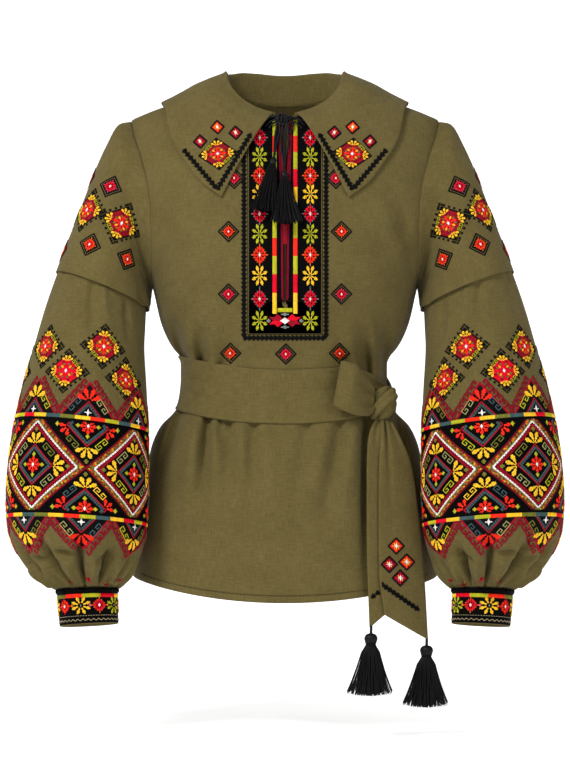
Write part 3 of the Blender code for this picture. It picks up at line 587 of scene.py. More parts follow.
SleeveRing = namedtuple("SleeveRing", "outer_x outer_z inner_x inner_z middle_y half_depth")
CAP_RINGS = table(SleeveRing, [
    (209, -24.5, 165.8, -230, -1, 60), (223, -50, 166.3, -234, -3, 62),
    (234, -75, 166.6, -238, -7, 64), (244, -102, 167, -242, -11, 65),
    (260, -145, 167, -247, -18, 66), (276, -187, 168, -251, -23, 67),
    (284, -209, 168, -255, -26, 68),
])
BISHOP_RINGS = table(SleeveRing, [
    (275.5, -193, 172, -253, -24, 62), (284.5, -217, 172.5, -259, -27, 63.5),
    (297, -256, 173, -279, -36, 68), (309, -300, 173.5, -306, -44, 71),
    (322, -350, 170, -357, -56, 74), (332, -398, 167.5, -405, -68, 77),
    (338, -446, 167, -454, -76, 80), (340, -492, 167.5, -498, -82, 80),
    (336, -532, 171, -537, -85, 77), (325, -557, 177, -559, -87, 70),
    (307, -577, 187, -576, -87, 56), (288, -590, 198, -588, -88, 43),
    (278, -596.5, 205, -594.5, -88, 35.5),
])
CUFF_RINGS = table(SleeveRing, [
    (277.5, -597, 204.5, -595, -88, 35), (276, -620, 204, -617, -89, 34.5),
    (274, -642, 203, -638, -90, 34),
])
SLEEVE_TILT = radians(7.5)
SLEEVE_ROUND = 519.0         # the way round the full of the sleeve
GATHER_RING = 7              # the ring below which the gathers need closer rows
CAP_ROWS, BISHOP_ROWS, GATHER_ROWS, CUFF_ROWS = 64, 70, 46, 18

# On a sleeve, places are degrees round it, from its outer line over its front, and heights.
SleeveCrease = namedtuple("SleeveCrease",
                          "root_turn root_z end_turn end_z root_width end_width height")
CAP_CREASES = table(SleeveCrease, [
    (150, -205, 128, -60, 6, 12, -3.0), (166, -214, 148, -80, 5, 12, 2.6),
    (140, -60, 120, -150, 6, 14, -1.8), (75, -209, 72, -120, 10, 16, -1.6),
    (-60, -205, -66, -80, 8, 14, -2.4), (-110, -212, -120, -70, 6, 14, -3.0),
    (-135, -214, -142, -100, 6, 12, 2.4),
])
BISHOP_CREASES = table(SleeveCrease, [
    (82, -212, 104, -330, 5, 14, -4.2), (98, -214, 118, -310, 5, 12, 3.0),
    (128, -222, 146, -330, 5, 14, -3.4), (36, -206, 44, -300, 7, 16, -1.8),
    (160, -330, 92, -352, 7, 16, -2.2), (20, -338, 92, -310, 8, 16, -1.6),
    (-50, -212, -58, -340, 6, 16, -3.4), (-90, -216, -84, -320, 6, 15, 3.0),
    (-125, -222, -130, -330, 6, 15, -3.4), (4, -592, 8, -530, 3.0, 10, -14.0),
    (21, -592, 18, -552, 2.8, 9, 8.0), (36, -592, 27, -530, 2.8, 9, -17.0),
    (51, -592, 50, -556, 2.6, 9, 10.0), (66, -591, 58, -528, 2.8, 9, -21.0),
    (79, -592, 80, -560, 2.4, 8, 9.0), (91, -591, 99, -520, 2.8, 9, -22.0),
    (104, -592, 110, -556, 2.4, 9, 10.0), (117, -591, 130, -534, 2.8, 9, -19.0),
    (131, -592, 141, -556, 2.6, 9, 8.5), (147, -592, 162, -540, 3.0, 10, -15.0),
    (46, -562, 76, -572, 3.2, 6, -8.0), (72, -556, 106, -563, 3.4, 7, -9.0),
    (112, -566, 142, -556, 3.2, 6, -7.5), (14, -566, 44, -573, 3.4, 6, -7.0),
])
BACK_GATHERS = 10            # more of the same down the sleeve's hidden half


def back_gathers():
    for k in range(BACK_GATHERS):
        turn = 172 + k * 18.4 + 4 * sin(2.4 * k)
        fold = -8 + 1.8 * sin(5.1 * k)
        reach = 58 + 12 * sin(3.7 * k)
        yield SleeveCrease(turn, -597, turn + 5 * sin(1.9 * k), -597 + reach, 3.0, 12.5, fold)
        yield SleeveCrease(turn + 9, -597, turn + 10, -597 + reach * 0.7, 2.8, 9.5, -0.6 * fold)


def ring_points(row, turns, tilt):
    """A ring of the right sleeve: from the outer line over the front to the inner line."""
    outer = np.array([row.outer_x, row.middle_y, row.outer_z])
    inner = np.array([row.inner_x, row.middle_y, row.inner_z])
    middle, across = (outer + inner) / 2, (outer - inner) / 2
    forward = np.array([0, -cos(tilt), sin(tilt)]) * row.half_depth
    return middle + np.outer(np.cos(turns), across) + np.outer(np.sin(turns), forward)


def armhole_ring(turns):
    z = SHOULDER_TIP_Z + (UNDERARM_Z - SHOULDER_TIP_Z) * (1 - np.cos(turns)) / 2
    x = read(ARMHOLE, z, "x")
    front, back = body_depth(x, z, True), body_depth(x, z, False)
    return np.stack([x + SEAM, np.where(turns <= pi, -front, back), z], -1)


def loft(rings, steps):
    """Smooth rows of points through rings of points, at places counted in rings."""
    rings = np.array(rings)
    slopes = np.zeros_like(rings)
    slopes[1:-1] = (rings[2:] - rings[:-2]) / 2
    slopes[0], slopes[-1] = rings[1] - rings[0], rings[-1] - rings[-2]
    i = np.clip(steps.astype(int), 0, len(rings) - 2)
    return cubic((steps - i)[:, None, None], rings[i], rings[i + 1], slopes[i], slopes[i + 1])


def tube_normals(grid):
    around = np.roll(grid, -1, axis=1) - np.roll(grid, 1, axis=1)
    normals = np.cross(around, np.gradient(grid, axis=0))
    return normals / np.linalg.norm(normals, axis=2)[:, :, None]


def sleeve_creases(grid, creases):
    """Moves a sleeve's points out along its normals."""
    rows, columns = grid.shape[:2]
    turns = 360 * np.arange(columns) / columns
    radius = SLEEVE_ROUND / 360
    heights = np.broadcast_to(grid[:, :1, 2], (rows, columns))
    total = np.zeros((rows, columns))
    for crease in creases:
        middle = (crease.root_turn + crease.end_turn) / 2
        near = (turns - middle + 180) % 360 - 180 + middle
        flat = Crease(crease.root_turn * radius, crease.root_z, crease.end_turn * radius,
                      crease.end_z, crease.root_width, crease.end_width, crease.height)
        total += creases_at([flat], near[None, :] * radius, heights)
    return grid + tube_normals(grid) * total[:, :, None]


def sleeve_grids():
    """The right sleeve's two tiers and its cuff; the left's are mirrored."""
    turns = round_turns(120)
    cap = [armhole_ring(turns)] + [ring_points(row, turns, SLEEVE_TILT * min(1, (k + 1) / 4))
                                   for k, row in enumerate(CAP_RINGS)]
    cap = sleeve_creases(loft(cap, np.linspace(0, len(CAP_RINGS), CAP_ROWS)), CAP_CREASES)
    turns = round_turns(168)
    bishop = [ring_points(row, turns, SLEEVE_TILT) for row in BISHOP_RINGS]
    last = len(BISHOP_RINGS) - 1
    steps = np.concatenate([np.linspace(0, GATHER_RING, BISHOP_ROWS)[:-1],
                            np.linspace(GATHER_RING, last, GATHER_ROWS)])
    bishop = sleeve_creases(loft(bishop, steps), BISHOP_CREASES + list(back_gathers()))
    turns = round_turns(96)
    cuff = [ring_points(row, turns, SLEEVE_TILT) for row in CUFF_RINGS]
    return cap, bishop, loft(cuff, np.linspace(0, len(CUFF_RINGS) - 1, CUFF_ROWS))


CAP_GRID, BISHOP_GRID, CUFF_GRID = sleeve_grids()
ARMHOLE_EASE = 0.006         # how much the cap's seam is drawn in, to lie inside the armhole
CAP_GRID[0] -= (CAP_GRID[0] - CAP_GRID[0].mean(axis=0)) * ARMHOLE_EASE


def sleeve_piece(name, grid, side, thickness=CLOTH, **finish):
    """A tube on the right sleeve, or its mirror image on the left one."""
    return grid_piece(name, grid * np.array([side, 1, 1]), thickness, wrap=True, flip=side > 0,
                      **finish)


for side_name, side in SIDES:
    cap = sleeve_piece(f"sleeve_cap_{side_name}", CAP_GRID, side)
    bishop = sleeve_piece(f"bishop_sleeve_{side_name}", BISHOP_GRID, side)
    cuff = sleeve_piece(f"cuff_{side_name}_band", CUFF_GRID, side)
    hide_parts(f"sleeve_upper_{side_name}")
    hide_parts(f"sleeve_lower_{side_name}")
    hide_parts(f"cuff_{side_name}")


# ---------------------------------------------------------------------------------------------
# Collar. One wide falling collar of doubled linen: it stands up from the neckline, rolls over
# and lies on the shoulders and chest, down to a point at each side of the slit.

COLLAR_CLOTH = 1.8
COLLAR_CORNER_TURN = 169.0
ROLL_RADIUS = 3.2            # of the roll between stand and fall, where the stand is high
STAND_LEAN = 0.12            # how far the stand leans out, as a share of its height

CollarPlace = namedtuple("CollarPlace", "turn x y stand lift")
COLLAR_EDGE = table(CollarPlace, [
    (0, 0, 98, 37.5, 7), (20, 55, 95, 37.8, 8), (40, 106, 81, 35, 9.5), (60, 137, 56, 26.5, 11),
    (85, 152.3, 3.5, 15.5, 10.5), (100, 139, -58.5, 12, 8.6), (118, 120, -80.8, 9.2, 6.8),
    (142, 98.6, -96.8, 5.5, 5.7), (169, 76.9, -106.4, 2.5, 5.15),
])


def body_height(x, y):
    """The body's height over points in plan, from the shoulders to the bust."""
    low, high = np.full(x.shape, -200.0), np.full(x.shape, NECK_TOP)
    for _ in range(26):
        middle = (low + high) / 2
        width, power = read(BODY, middle, "half_width"), read(BODY, middle, "power")
        depth = np.where(y < 0, read(BODY, middle, "front_depth"), read(BODY, middle, "back_depth"))
        outside = (np.abs(x) / width) ** power + (np.abs(y) / depth) ** power > 1
        high, low = np.where(outside, middle, high), np.where(outside, low, middle)
    return low


def over_body(x, y, lift):
    """Points of the shoulders or chest, moved out along the surface's normal."""
    step = 2.0
    z = body_height(x, y)
    slope_x = (body_height(x + step, y) - body_height(x - step, y)) / (2 * step)
    slope_y = (body_height(x, y + step) - body_height(x, y - step)) / (2 * step)
    normal = np.stack([-slope_x, -slope_y, np.ones_like(x)], -1)
    normal /= np.linalg.norm(normal, axis=-1)[..., None]
    return np.stack([x, y, z], -1) + normal * np.asarray(lift)[..., None]


def neck_points(turns):
    """The neckline: the turn goes round from the middle of the back, in degrees."""
    x = NECK_HALF_WIDTH * np.sin(np.radians(turns))
    front = np.abs(turns) > 90
    drop = np.where(front, NECK_FRONT_DROP, NECK_BACK_DROP)
    z = NECK_TOP - drop * np.sqrt(np.maximum(0, 1 - (x / NECK_HALF_WIDTH) ** 2))
    y = np.where(front, -body_depth(x, z, True), body_depth(x, z, False))
    return np.stack([x, y, z], -1)


def collar_grid():
    turns = np.linspace(-COLLAR_CORNER_TURN, COLLAR_CORNER_TURN, 151)
    edge_x = read(COLLAR_EDGE, np.abs(turns), "x") * np.sign(turns)
    edge_y, stand, lift = (read(COLLAR_EDGE, np.abs(turns), column)
                           for column in ("y", "stand", "lift"))
    seam = neck_points(turns)
    away = np.stack([edge_x - seam[:, 0], edge_y - seam[:, 1], np.zeros_like(turns)], -1)
    away[np.abs(turns) < 1] = (0, 1, 0)
    away /= np.linalg.norm(away, axis=1)[:, None]
    up = np.array([0, 0, 1.0])
    radius = np.minimum(ROLL_RADIUS, 1.6 + stand * 0.12)[:, None]
    stand = stand[:, None]
    foot = seam + up * SEAM - away * (COLLAR_CLOTH + SEAM)
    crest = foot + up * stand + away * stand * STAND_LEAN
    rows = [foot, (foot + crest) / 2, crest,
            crest + away * radius + up * radius * 0.7,
            crest + away * radius * 2.1 - up * radius * 0.1]
    start = rows[-1]
    straighter = 1 + 0.32 * smooth_step(130, 169, np.abs(turns))
    for share in (0.2, 0.45, 0.75, 1.0):
        x = start[:, 0] + (edge_x - start[:, 0]) * share ** straighter
        y = start[:, 1] + (edge_y - start[:, 1]) * share
        swell = (lift - 3) * (sin(pi * min(share, 0.9)) + 0.25 * share)
        near = over_body(x, y, COLLAR_CLOTH + 1.0 + swell)
        near[:, 2] += np.maximum(start[:, 2] - near[:, 2], 0) * (1 - share) ** 2.6
        rows.append(near)
    steps = np.concatenate([np.linspace(0, 4, 17)[:-1], np.linspace(4, 8, 30)])
    return loft(rows, steps)


def straight_grain(grid):
    """Places on a cloth whose threads run across and down the wearer, not round the neck."""
    down = 0.85 * grid[..., 2] - 0.45 * np.abs(grid[..., 1])
    return np.stack([grid[..., 0], down], -1) * MM


COLLAR_GRID = collar_grid()
collar = grid_piece("falling_collar", COLLAR_GRID, COLLAR_CLOTH, flip=True,
                    cloth=straight_grain(COLLAR_GRID))
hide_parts("collar")


# ---------------------------------------------------------------------------------------------
# Sash. A long band of the blouse's linen, folded flat and wound round the waist, knotted at one
# side with half a bow: a loop that lies over the front, and two ends that hang below the hem.

BELT_WIDTH, BELT_CLOTH, BELT_GAP = 64.0, 2.2, 0.1
BOW_CLOTH = 1.4              # the loop's and the ends' own wall
BELT_FRONT_DIP, BELT_BACK_RISE = 17.0, 6.0
KNOT_MIDDLE = np.array([120.2, -73.9, -371.0])
KNOT_HALF = np.array([16.4, 12.5, 22.5])
TAIL_REST_X = 107.0
LOOP_SLANT = 9.5             # how much further in the loop's upper corner lies
LOOP_PLEAT, LOOP_BULGE = 2.6, 1.6
BELT_DRAWN_IN = 9.0          # where the band is narrowest, in degrees from its right end
DRAWN_SHARE, DRAWN_REACH = 0.62, 31.0    # how much it's narrowed there, and over how many degrees
PLEATS, PLEAT_HEIGHT = 4, 2.4            # the pleats that this presses into it

# On the sash, places are degrees round it from its right end over the front, and shares down it.
BELT_CREASES = table(Crease, [     # from the knot along the band
    (34, 30, 120, 20, 2.0, 5, -1.8), (34, 40, 150, 44, 2.2, 6, 1.4),
    (34, 50, 130, 57, 1.6, 3, -1.9), (34, 16, 90, 8, 2.0, 5, 1.3), (160, 40, 90, 50, 2.0, 5, -1.4),
    (165, 22, 100, 30, 2.0, 6, -1.4), (-40, 20, -130, 26, 3, 7, -1.0),
    (-60, 46, -150, 40, 3, 8, 0.9), (-200, 22, -110, 34, 4, 8, -0.9),
])

LoopPlace = namedtuple("LoopPlace", "x y top bottom")
BOW_LOOP = table(LoopPlace, [     # from the knot along the back layer, round the end and back
    (105.5, -73, -353, -374), (96, -81, -343, -378), (82, -90, -330, -379),
    (68, -95.6, -321, -376), (61, -99, -319, -373), (58, -103, -319.5, -372),
    (62, -108, -319.5, -374), (74, -109, -323, -380), (90, -101, -332, -385),
    (101, -91, -341, -386), (109, -84, -351, -381),
])

LOOP_END = 5                 # the row at the loop's rounded end, past which it is on the front

TailPlace = namedtuple("TailPlace", "left_x left_z right_x right_z lift")
TAIL_TABLES = {
    "left": table(TailPlace, [
        (111, -388, 125, -392, 8), (103, -408, 128, -408, 8), (100, -440, 138, -440, 8),
        (99.5, -500, 147, -500, 8), (100, -560, 151, -555, 8), (102.5, -640, 153, -599, 8),
    ]),
    "right": table(TailPlace, [
        (118, -391, 131, -393, 12), (116.5, -416, 141, -412, 12), (114.6, -454, 155, -448, 12),
        (114, -520, 164, -515, 12), (114.6, -575, 170, -585, 12), (120.6, -625, 174, -657, 12),
    ]),
}
TailFold = namedtuple("TailFold", "share reach width height")
TAIL_FOLDS = {               # lengthwise folds that the knot presses in, fading downwards
    "left": table(TailFold, [(0.3, 0.5, 0.09, -3.6), (0.62, 0.7, 0.12, 2.6)]),
    "right": table(TailFold, [(0.14, 0.55, 0.08, 3.2), (0.30, 0.7, 0.06, -5.0),
                              (0.5, 0.6, 0.12, 2.6), (0.8, 0.5, 0.07, -2.6)]),
}


def belt_grid():
    turns = round_turns(220)
    front = np.sin(turns) > 0
    share = np.cos(turns)
    rows = np.linspace(0, 1, 22)[:, None]
    frontness = (1 - share ** 2) * np.where(front, 1, -1)
    middle = WAIST_Z - frontness * np.where(frontness > 0, BELT_FRONT_DIP, BELT_BACK_RISE)
    z = middle[None, :] + BELT_WIDTH * (0.5 - rows)
    off = (np.degrees(turns) - BELT_DRAWN_IN + 180) % 360 - 180
    drawn = DRAWN_SHARE * np.exp(-(off / DRAWN_REACH) ** 2)[None, :]
    z = z + (KNOT_MIDDLE[2] - z) * drawn
    width, power = read(BODY, z, "half_width"), read(BODY, z, "power")
    depth = np.where(front, read(BODY, z, "front_depth"), read(BODY, z, "back_depth"))
    lift = BELT_GAP + BELT_CLOTH + 0.4
    places = np.degrees(turns)
    around = (places + 180) % 360 - 180
    lift = lift + creases_at(BELT_CREASES, around[None, :], rows * BELT_WIDTH)
    lift = lift + PLEAT_HEIGHT * drawn * (1 - np.cos(rows * 2 * PLEATS * pi))
    y = (1 - np.abs(share) ** power) ** (1 / power) * (depth + lift)
    return np.stack([share * (width + lift), np.where(front, -y, y), z], -1)


def loop_grid():
    keys = range(len(BOW_LOOP))
    steps = np.linspace(0, len(BOW_LOOP) - 1, 64)[:, None]
    x, y, top, bottom = (read(BOW_LOOP, steps, column, keys) for column in LoopPlace._fields)
    share = np.linspace(0, 1, 18)[None, :]
    pinch = smooth_step(72, 106, x)
    x = x + LOOP_SLANT * (1 - share) * (1 - pinch)
    y = y - LOOP_PLEAT * pinch * np.cos(share * 5 * pi + 0.05 * x)
    bulge = LOOP_BULGE * np.sin(share * pi) * (1 - pinch)
    y = np.where(steps > LOOP_END, y - bulge, y)
    return np.stack(np.broadcast_arrays(x, y, top + (bottom - top) * share), -1)


def tail_grid(label):
    table = TAIL_TABLES[label]
    keys = range(len(table))
    steps = np.linspace(0, len(table) - 1, 74)[:, None]
    share = np.linspace(0, 1, 22)[None, :]
    left_x, left_z, right_x, right_z, lift = (read(table, steps, column, keys)
                                              for column in TailPlace._fields)
    x = left_x + (right_x - left_x) * share
    z = left_z + (right_z - left_z) * share
    near, far = body_depth(TAIL_REST_X, z), body_depth(x, z)
    lift = np.broadcast_to(lift, z.shape).copy()
    down = steps / (len(table) - 1)
    for fold in TAIL_FOLDS[label]:
        fade = 1 - smooth_step(0, fold.reach, down)
        lift += fold.height * fade * np.exp(-((share - fold.share) / fold.width) ** 2)
    return np.stack([x, -(near + (far - near) * 0.6 + lift), z], -1)


def knot_points():
    """The knot: one pass of the band, drawn slantwise over the others."""
    unit = ball(44, 64)
    off_axis = np.hypot(unit[..., 0], unit[..., 1])
    slant = -unit[..., 0] * 0.66 + unit[..., 2] * 0.74 + 0.12 * unit[..., 1]
    wrap = 0.12 * np.exp(-((slant + 0.05) / 0.36) ** 2)
    folds = (0.19 * np.abs(np.sin(slant * 5.2 + 0.5 * unit[..., 0])) - 0.12) * off_axis
    lines = -0.2 * (np.exp(-((slant - 0.5) / 0.06) ** 2) + np.exp(-((slant + 0.5) / 0.06) ** 2))
    out = 0.95 + wrap + folds + lines
    points = unit * KNOT_HALF * out[..., None]
    points[..., 0] += 0.2 * points[..., 2]
    return KNOT_MIDDLE + points


def closed_lump(name, grid, finish, slot):
    """A closed form from rings of points, with a point at each end."""
    rows, columns = grid.shape[:2]
    index = np.arange(rows * columns).reshape(rows, columns)
    faces = spread_quads(np.column_stack([index, index[:, 0]])).tolist()
    first, last = rows * columns, rows * columns + 1
    last_row = first - columns
    for k in range(columns):
        after = (k + 1) % columns
        faces += [(first, k, after), (last, last_row + after, last_row + k)]
    points = np.concatenate([grid.reshape(-1, 3), [grid[0].mean(axis=0), grid[-1].mean(axis=0)]])
    mesh = bpy.data.meshes.new(name)
    mesh.from_pydata((points * MM).tolist(), [], faces)
    layer = mesh.uv_layers.new(name="cloth")
    corners = [loop.vertex_index for loop in mesh.loops]
    layer.data.foreach_set("uv", (points[corners][:, [0, 2]] * MM).reshape(-1))
    mesh.shade_smooth()
    return piece(name, mesh, slot, finish)


def belt_gather():
    """What is left of the band beside the knot, bunched where it goes under."""
    along = np.linspace(0, 1, 26)[:, None]
    turn = round_turns(28)[None, :]
    x = 126 + 11.5 * along
    z = -376 + 5 * along
    half_z = 10.0 * (0.72 + 0.36 * along) * (1 - 0.85 * smooth_step(0.86, 1.0, along))
    half_y = 4.6 * (1 - 0.8 * smooth_step(0.86, 1.0, along))
    folds = 1 + 0.16 * np.cos(5 * turn + 0.8) * (1 - along)
    y = -66.0 + 8.0 * along
    return np.stack(np.broadcast_arrays(x, y + half_y * np.cos(turn) * folds,
                                        z + half_z * np.sin(turn) * folds), -1)


belt = grid_piece("sash_band", belt_grid(), BELT_CLOTH, wrap=True, flip=True)
loop = grid_piece("sash_loop", loop_grid(), BOW_CLOTH, flip=True)
knot = closed_lump("sash_knot", knot_points(), LINEN, "linen")
closed_lump("sash_gather", belt_gather(), LINEN, "linen")
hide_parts("belt_wrap")
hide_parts("belt_loop")
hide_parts("belt_knot")
TAIL_GRIDS = {}
for label, area in (("left", 0.0118), ("right", 0.0137)):
    TAIL_GRIDS[label] = tail_grid(label)
    tail = grid_piece(f"sash_tail_{label}", TAIL_GRIDS[label], BOW_CLOTH)
    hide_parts(f"belt_tail_{label}")


# ---------------------------------------------------------------------------------------------
# Tassels. Black silk: a wound head on a short cord, and under it a skirt of a few hundred loose
# strands, a little uneven in their fall. Two large ones weight the sash's ends, two small ones
# the neck cords.

SILK_BLACK = (0.0030, 0.0030, 0.0036)
HEAD_RIDGES, HEAD_RIDGE = 15, 0.05       # the wound thread's ridges, as a share of the radius
HOOPS, HOOP_PITCH, HOOP_LIFT = 5, 0.9, 0.35
STRAND_STEPS = 6
STRAND_ROOT = 7.0            # how far up inside the head a strand starts
StrandSet = namedtuple("StrandSet", "rings per_ring radius sides")


def silk(name, colour):
    made, tree, shader = material(name, {"Base Color": (*colour, 1), "Roughness": 0.42,
                                         "Anisotropic": 0.4, "Specular IOR Level": 0.14})
    place = tree.nodes.new("ShaderNodeTexCoord")
    strands = noise(tree, stretched(tree, place.outputs["Object"], 0.0009, 0.0009), 1.0, 3.0)
    tree.links.new(ramp(tree, strands, [(0.3, tuple(0.5 * part for part in colour)),
                                        (0.75, tuple(2.8 * part for part in colour))]),
                   shader.inputs["Base Color"])
    bumped(tree, shader, strands, 0.4, 0.0003)
    rough = maths(tree, "ADD", 0.38, maths(tree, "MULTIPLY", strands, 0.25))
    tree.links.new(rough, shader.inputs["Roughness"])
    return made


BLACK_SILK = silk("black_silk", SILK_BLACK)


def geometry_tree(name, inputs):
    """A Geometry Nodes tree that takes a mesh and named values, and puts out a mesh."""
    tree = bpy.data.node_groups.new(name, "GeometryNodeTree")
    tree.interface.new_socket("Geometry", in_out="INPUT", socket_type="NodeSocketGeometry")
    sockets = {}
    for label, kind, value in inputs:
        socket = tree.interface.new_socket(label, in_out="INPUT", socket_type=kind)
        if value is not None:
            socket.default_value = value
        sockets[label] = socket.identifier
    tree.interface.new_socket("Geometry", in_out="OUTPUT", socket_type="NodeSocketGeometry")
    return tree, sockets, tree.nodes.new("NodeGroupInput"), tree.nodes.new("NodeGroupOutput")


def put_out(tree, last, output, given, made):
    """Makes a mesh of what a tree's last node makes, gives it the finish and puts it out."""
    realize = tree.nodes.new("GeometryNodeRealizeInstances")
    finish = tree.nodes.new("GeometryNodeSetMaterial")
    wired(tree, (last, output, realize, "Geometry"), (realize, "Geometry", finish, "Geometry"),
          (given, "Finish", finish, "Material"), (finish, "Geometry", made, "Geometry"))


def strand_tree():
    """Thin threads along every run of edges."""
    tree, sockets, given, made = geometry_tree(
        "silk_strands", [("Radius", "NodeSocketFloat", 0.0005), ("Sides", "NodeSocketInt", 3),
                         ("Finish", "NodeSocketMaterial", None)])
    curve = tree.nodes.new("GeometryNodeMeshToCurve")
    profile = tree.nodes.new("GeometryNodeCurvePrimitiveCircle")
    sweep = tree.nodes.new("GeometryNodeCurveToMesh")
    sweep.inputs["Fill Caps"].default_value = True
    wired(tree, (given, "Geometry", curve, "Mesh"), (given, "Radius", profile, "Radius"),
          (given, "Sides", profile, "Resolution"), (curve, "Curve", sweep, "Curve"),
          (profile, "Curve", sweep, "Profile Curve"))
    put_out(tree, sweep, "Mesh", given, made)
    return tree, sockets


STRANDS, STRAND_INPUTS = strand_tree()


def made_by_nodes(name, mesh, tree, sockets, values, slot):
    """The plain mesh that a node tree makes from a mesh, as one piece."""
    source = placed(f"{name}_source", mesh)
    modifier = source.modifiers.new("nodes", "NODES")
    modifier.node_group = tree
    for label, value in values.items():
        modifier[sockets[label]] = value
    made_from = source.evaluated_get(bpy.context.evaluated_depsgraph_get())
    plain = bpy.data.meshes.new_from_object(made_from)
    plain.name = name
    source.modifiers.remove(modifier)
    bpy.data.objects.remove(source)
    bpy.data.meshes.remove(mesh)
    plain.shade_smooth()
    return piece(name, plain, slot)


def strand_runs(name, runs, radius, sides):
    """Threads along lists of points, given in millimetres."""
    points, edges = [], []
    for run in runs:
        start = len(points)
        points += [tuple(float(part) * MM for part in point) for point in run]
        edges += [(k, k + 1) for k in range(start, len(points) - 1)]
    mesh = bpy.data.meshes.new(f"{name}_runs")
    mesh.from_pydata(points, edges, [])
    return made_by_nodes(name, mesh, STRANDS, STRAND_INPUTS,
                         {"Radius": radius * MM, "Sides": sides, "Finish": BLACK_SILK}, "silk")


HeadRing = namedtuple("HeadRing", "down radius")
BELT_TASSEL_HEAD = table(HeadRing, [(0, 1.7), (9, 1.7), (10.5, 5.4), (15.5, 7.7), (20, 6.6),
                                    (22.5, 5.7), (26, 6.8), (30, 9.4)])
TIE_TASSEL_HEAD = table(HeadRing, [(0, 1.3), (2, 3.2), (5.5, 4.2), (9, 3.3), (11, 2.9), (15, 5.0)])


def leaning(points, top, length, lean):
    points = np.asarray(points, float)
    share = (-points[..., 2:] / length)
    return top + points + share * np.array([lean[0], lean[1], 0.0])


def tassel(name, top, head, length, spread, lean, strands, flat=1.0):
    """A turned head of wound thread, and its skirt's strands, flattened where it lies."""
    down = np.linspace(0, head[-1].down, 46)
    radius = read(head, down, "radius")
    turn = round_turns(30)
    raised = HEAD_RIDGE * np.cos(turn * HEAD_RIDGES)[None, :]
    wound = 1 + raised * smooth_step(8, 12, down)[:, None]
    out = radius[:, None] * wound
    grid = np.stack(np.broadcast_arrays(out * np.cos(turn), out * np.sin(turn), -down[:, None]), -1)
    grid = leaning(grid, top, length, lean)
    closed_lump(f"{name}_head", grid, BLACK_SILK, "silk")
    binding = []
    neck = min(head[3:-1], key=lambda ring: ring.radius)
    for k in range(HOOPS):
        level = neck.down + (k - HOOPS // 2) * HOOP_PITCH
        hoop = float(read(head, level, "radius")) + HOOP_LIFT
        loop = [(hoop * cos(2 * pi * i / 20), hoop * sin(2 * pi * i / 20), -level)
                for i in range(21)]
        binding.append(leaning(loop, top, length, lean))
    runs = []
    rim = head[-1]
    root = rim.down - STRAND_ROOT
    for ring in range(strands.rings):
        out = (ring + 0.6) / strands.rings
        for k in range(strands.per_ring):
            number = ring * strands.per_ring + k
            turn = 2 * pi * (k + 0.5 * (ring % 2) + 0.22 * sin(3.1 * number)) / strands.per_ring
            curl = 0.9 * sin(1.7 * number)
            fall = length + 1.5 * sin(2.3 * number) - 3.5 * out ** 2
            run = []
            for step in range(STRAND_STEPS + 1):
                share = step / STRAND_STEPS
                flare = rim.radius + (spread - rim.radius) * (0.72 * share + 0.28 * share ** 2)
                wave = curl * sin(share * (5 + sin(number))) * share
                level = -root - (fall - root) * share
                if share < 0.12:
                    flare = min(flare, float(read(head, -level, "radius")) + 0.1)
                run.append((flare * out * cos(turn + 0.05 * wave) + wave * 0.5,
                            flare * out * sin(turn + 0.05 * wave) * (1 - (1 - flat) * share),
                            level))
            runs.append(leaning(run, top, length, lean))
    return strand_runs(f"{name}_skirt", runs + binding, strands.radius, strands.sides)


BELT_STRANDS = StrandSet(6, 72, 0.5, 3)
for label, corner, inset in (("left", 0, 1.5), ("right", -1, -1.5)):
    tip = TAIL_GRIDS[label][-1, corner] + np.array([inset, 1.1, 1.6])
    skirt = tassel(f"sash_tassel_{label}", tip, BELT_TASSEL_HEAD, 83, 29, (-2, 0), BELT_STRANDS)
    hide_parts(f"belt_tassel_{label}")


# ---------------------------------------------------------------------------------------------
# Neck tie. A soft black cord through the collar's corners, knotted over the slit; its two ends
# hang down the chest, each in a small tassel.

TIE_CORD = 2.6
TIE_KNOT_MIDDLE = np.array([-3.0, -69.5, -22.5])
TIE_KNOT_HALF = np.array([9.5, 4.6, 5.6])
TIE_STRANDS = StrandSet(5, 40, 0.42, 3)
TIE_CORE = 30.0              # how far a cord goes down inside its tassel
PLY_TWIST, PLY_DEPTH = 0.42, 0.16        # radians a step, and the share of the radius between plies


def tie_route(start_x, start_z, end_x, end_z, count):
    """From under the knot down the chest, a little off it at both ends."""
    share = np.linspace(0, 1, count)
    x, z = start_x + (end_x - start_x) * share, start_z + (end_z - start_z) * share
    lift = TIE_CORD / 2 + 0.2 + 2.4 * (1 - share) ** 3 + 3.4 * share ** 5
    return np.stack([x, -(body_depth(x, z) + lift), z], -1)


def cord_piece(name, route, core):
    """A cord of two plies laid round each other along a route, and on through its tassel."""
    route = np.concatenate([route, core])
    steps = np.linspace(0, len(route) - 1, 15 * len(route))
    middle = np.stack([np.interp(steps, range(len(route)), route[:, k]) for k in range(3)], -1)
    along = np.gradient(middle, axis=0)
    along /= np.linalg.norm(along, axis=1)[:, None]
    side = np.cross(along, (0, 1, 0))
    side /= np.linalg.norm(side, axis=1)[:, None]
    out = np.cross(side, along)
    turn = round_turns(12)
    twist = np.arange(len(middle))[:, None] * PLY_TWIST
    plies = np.abs(np.cos(turn[None, :] - twist))
    radius = TIE_CORD / 2 * (1 - PLY_DEPTH + PLY_DEPTH * plies)
    grid = (middle[:, None, :]
            + (radius * np.cos(turn))[..., None] * side[:, None, :]
            + (radius * np.sin(turn))[..., None] * out[:, None, :])
    return closed_lump(name, grid[::-1], BLACK_SILK, "silk"), middle


def tie_knot():
    """Two turns of cord over a core, wider than it is high."""
    unit = ball(40, 40)
    out = 0.93 + 0.07 * np.cos(unit[..., 0] * 15 + unit[..., 2] * 3)
    return TIE_KNOT_MIDDLE + unit * TIE_KNOT_HALF * out[..., None]


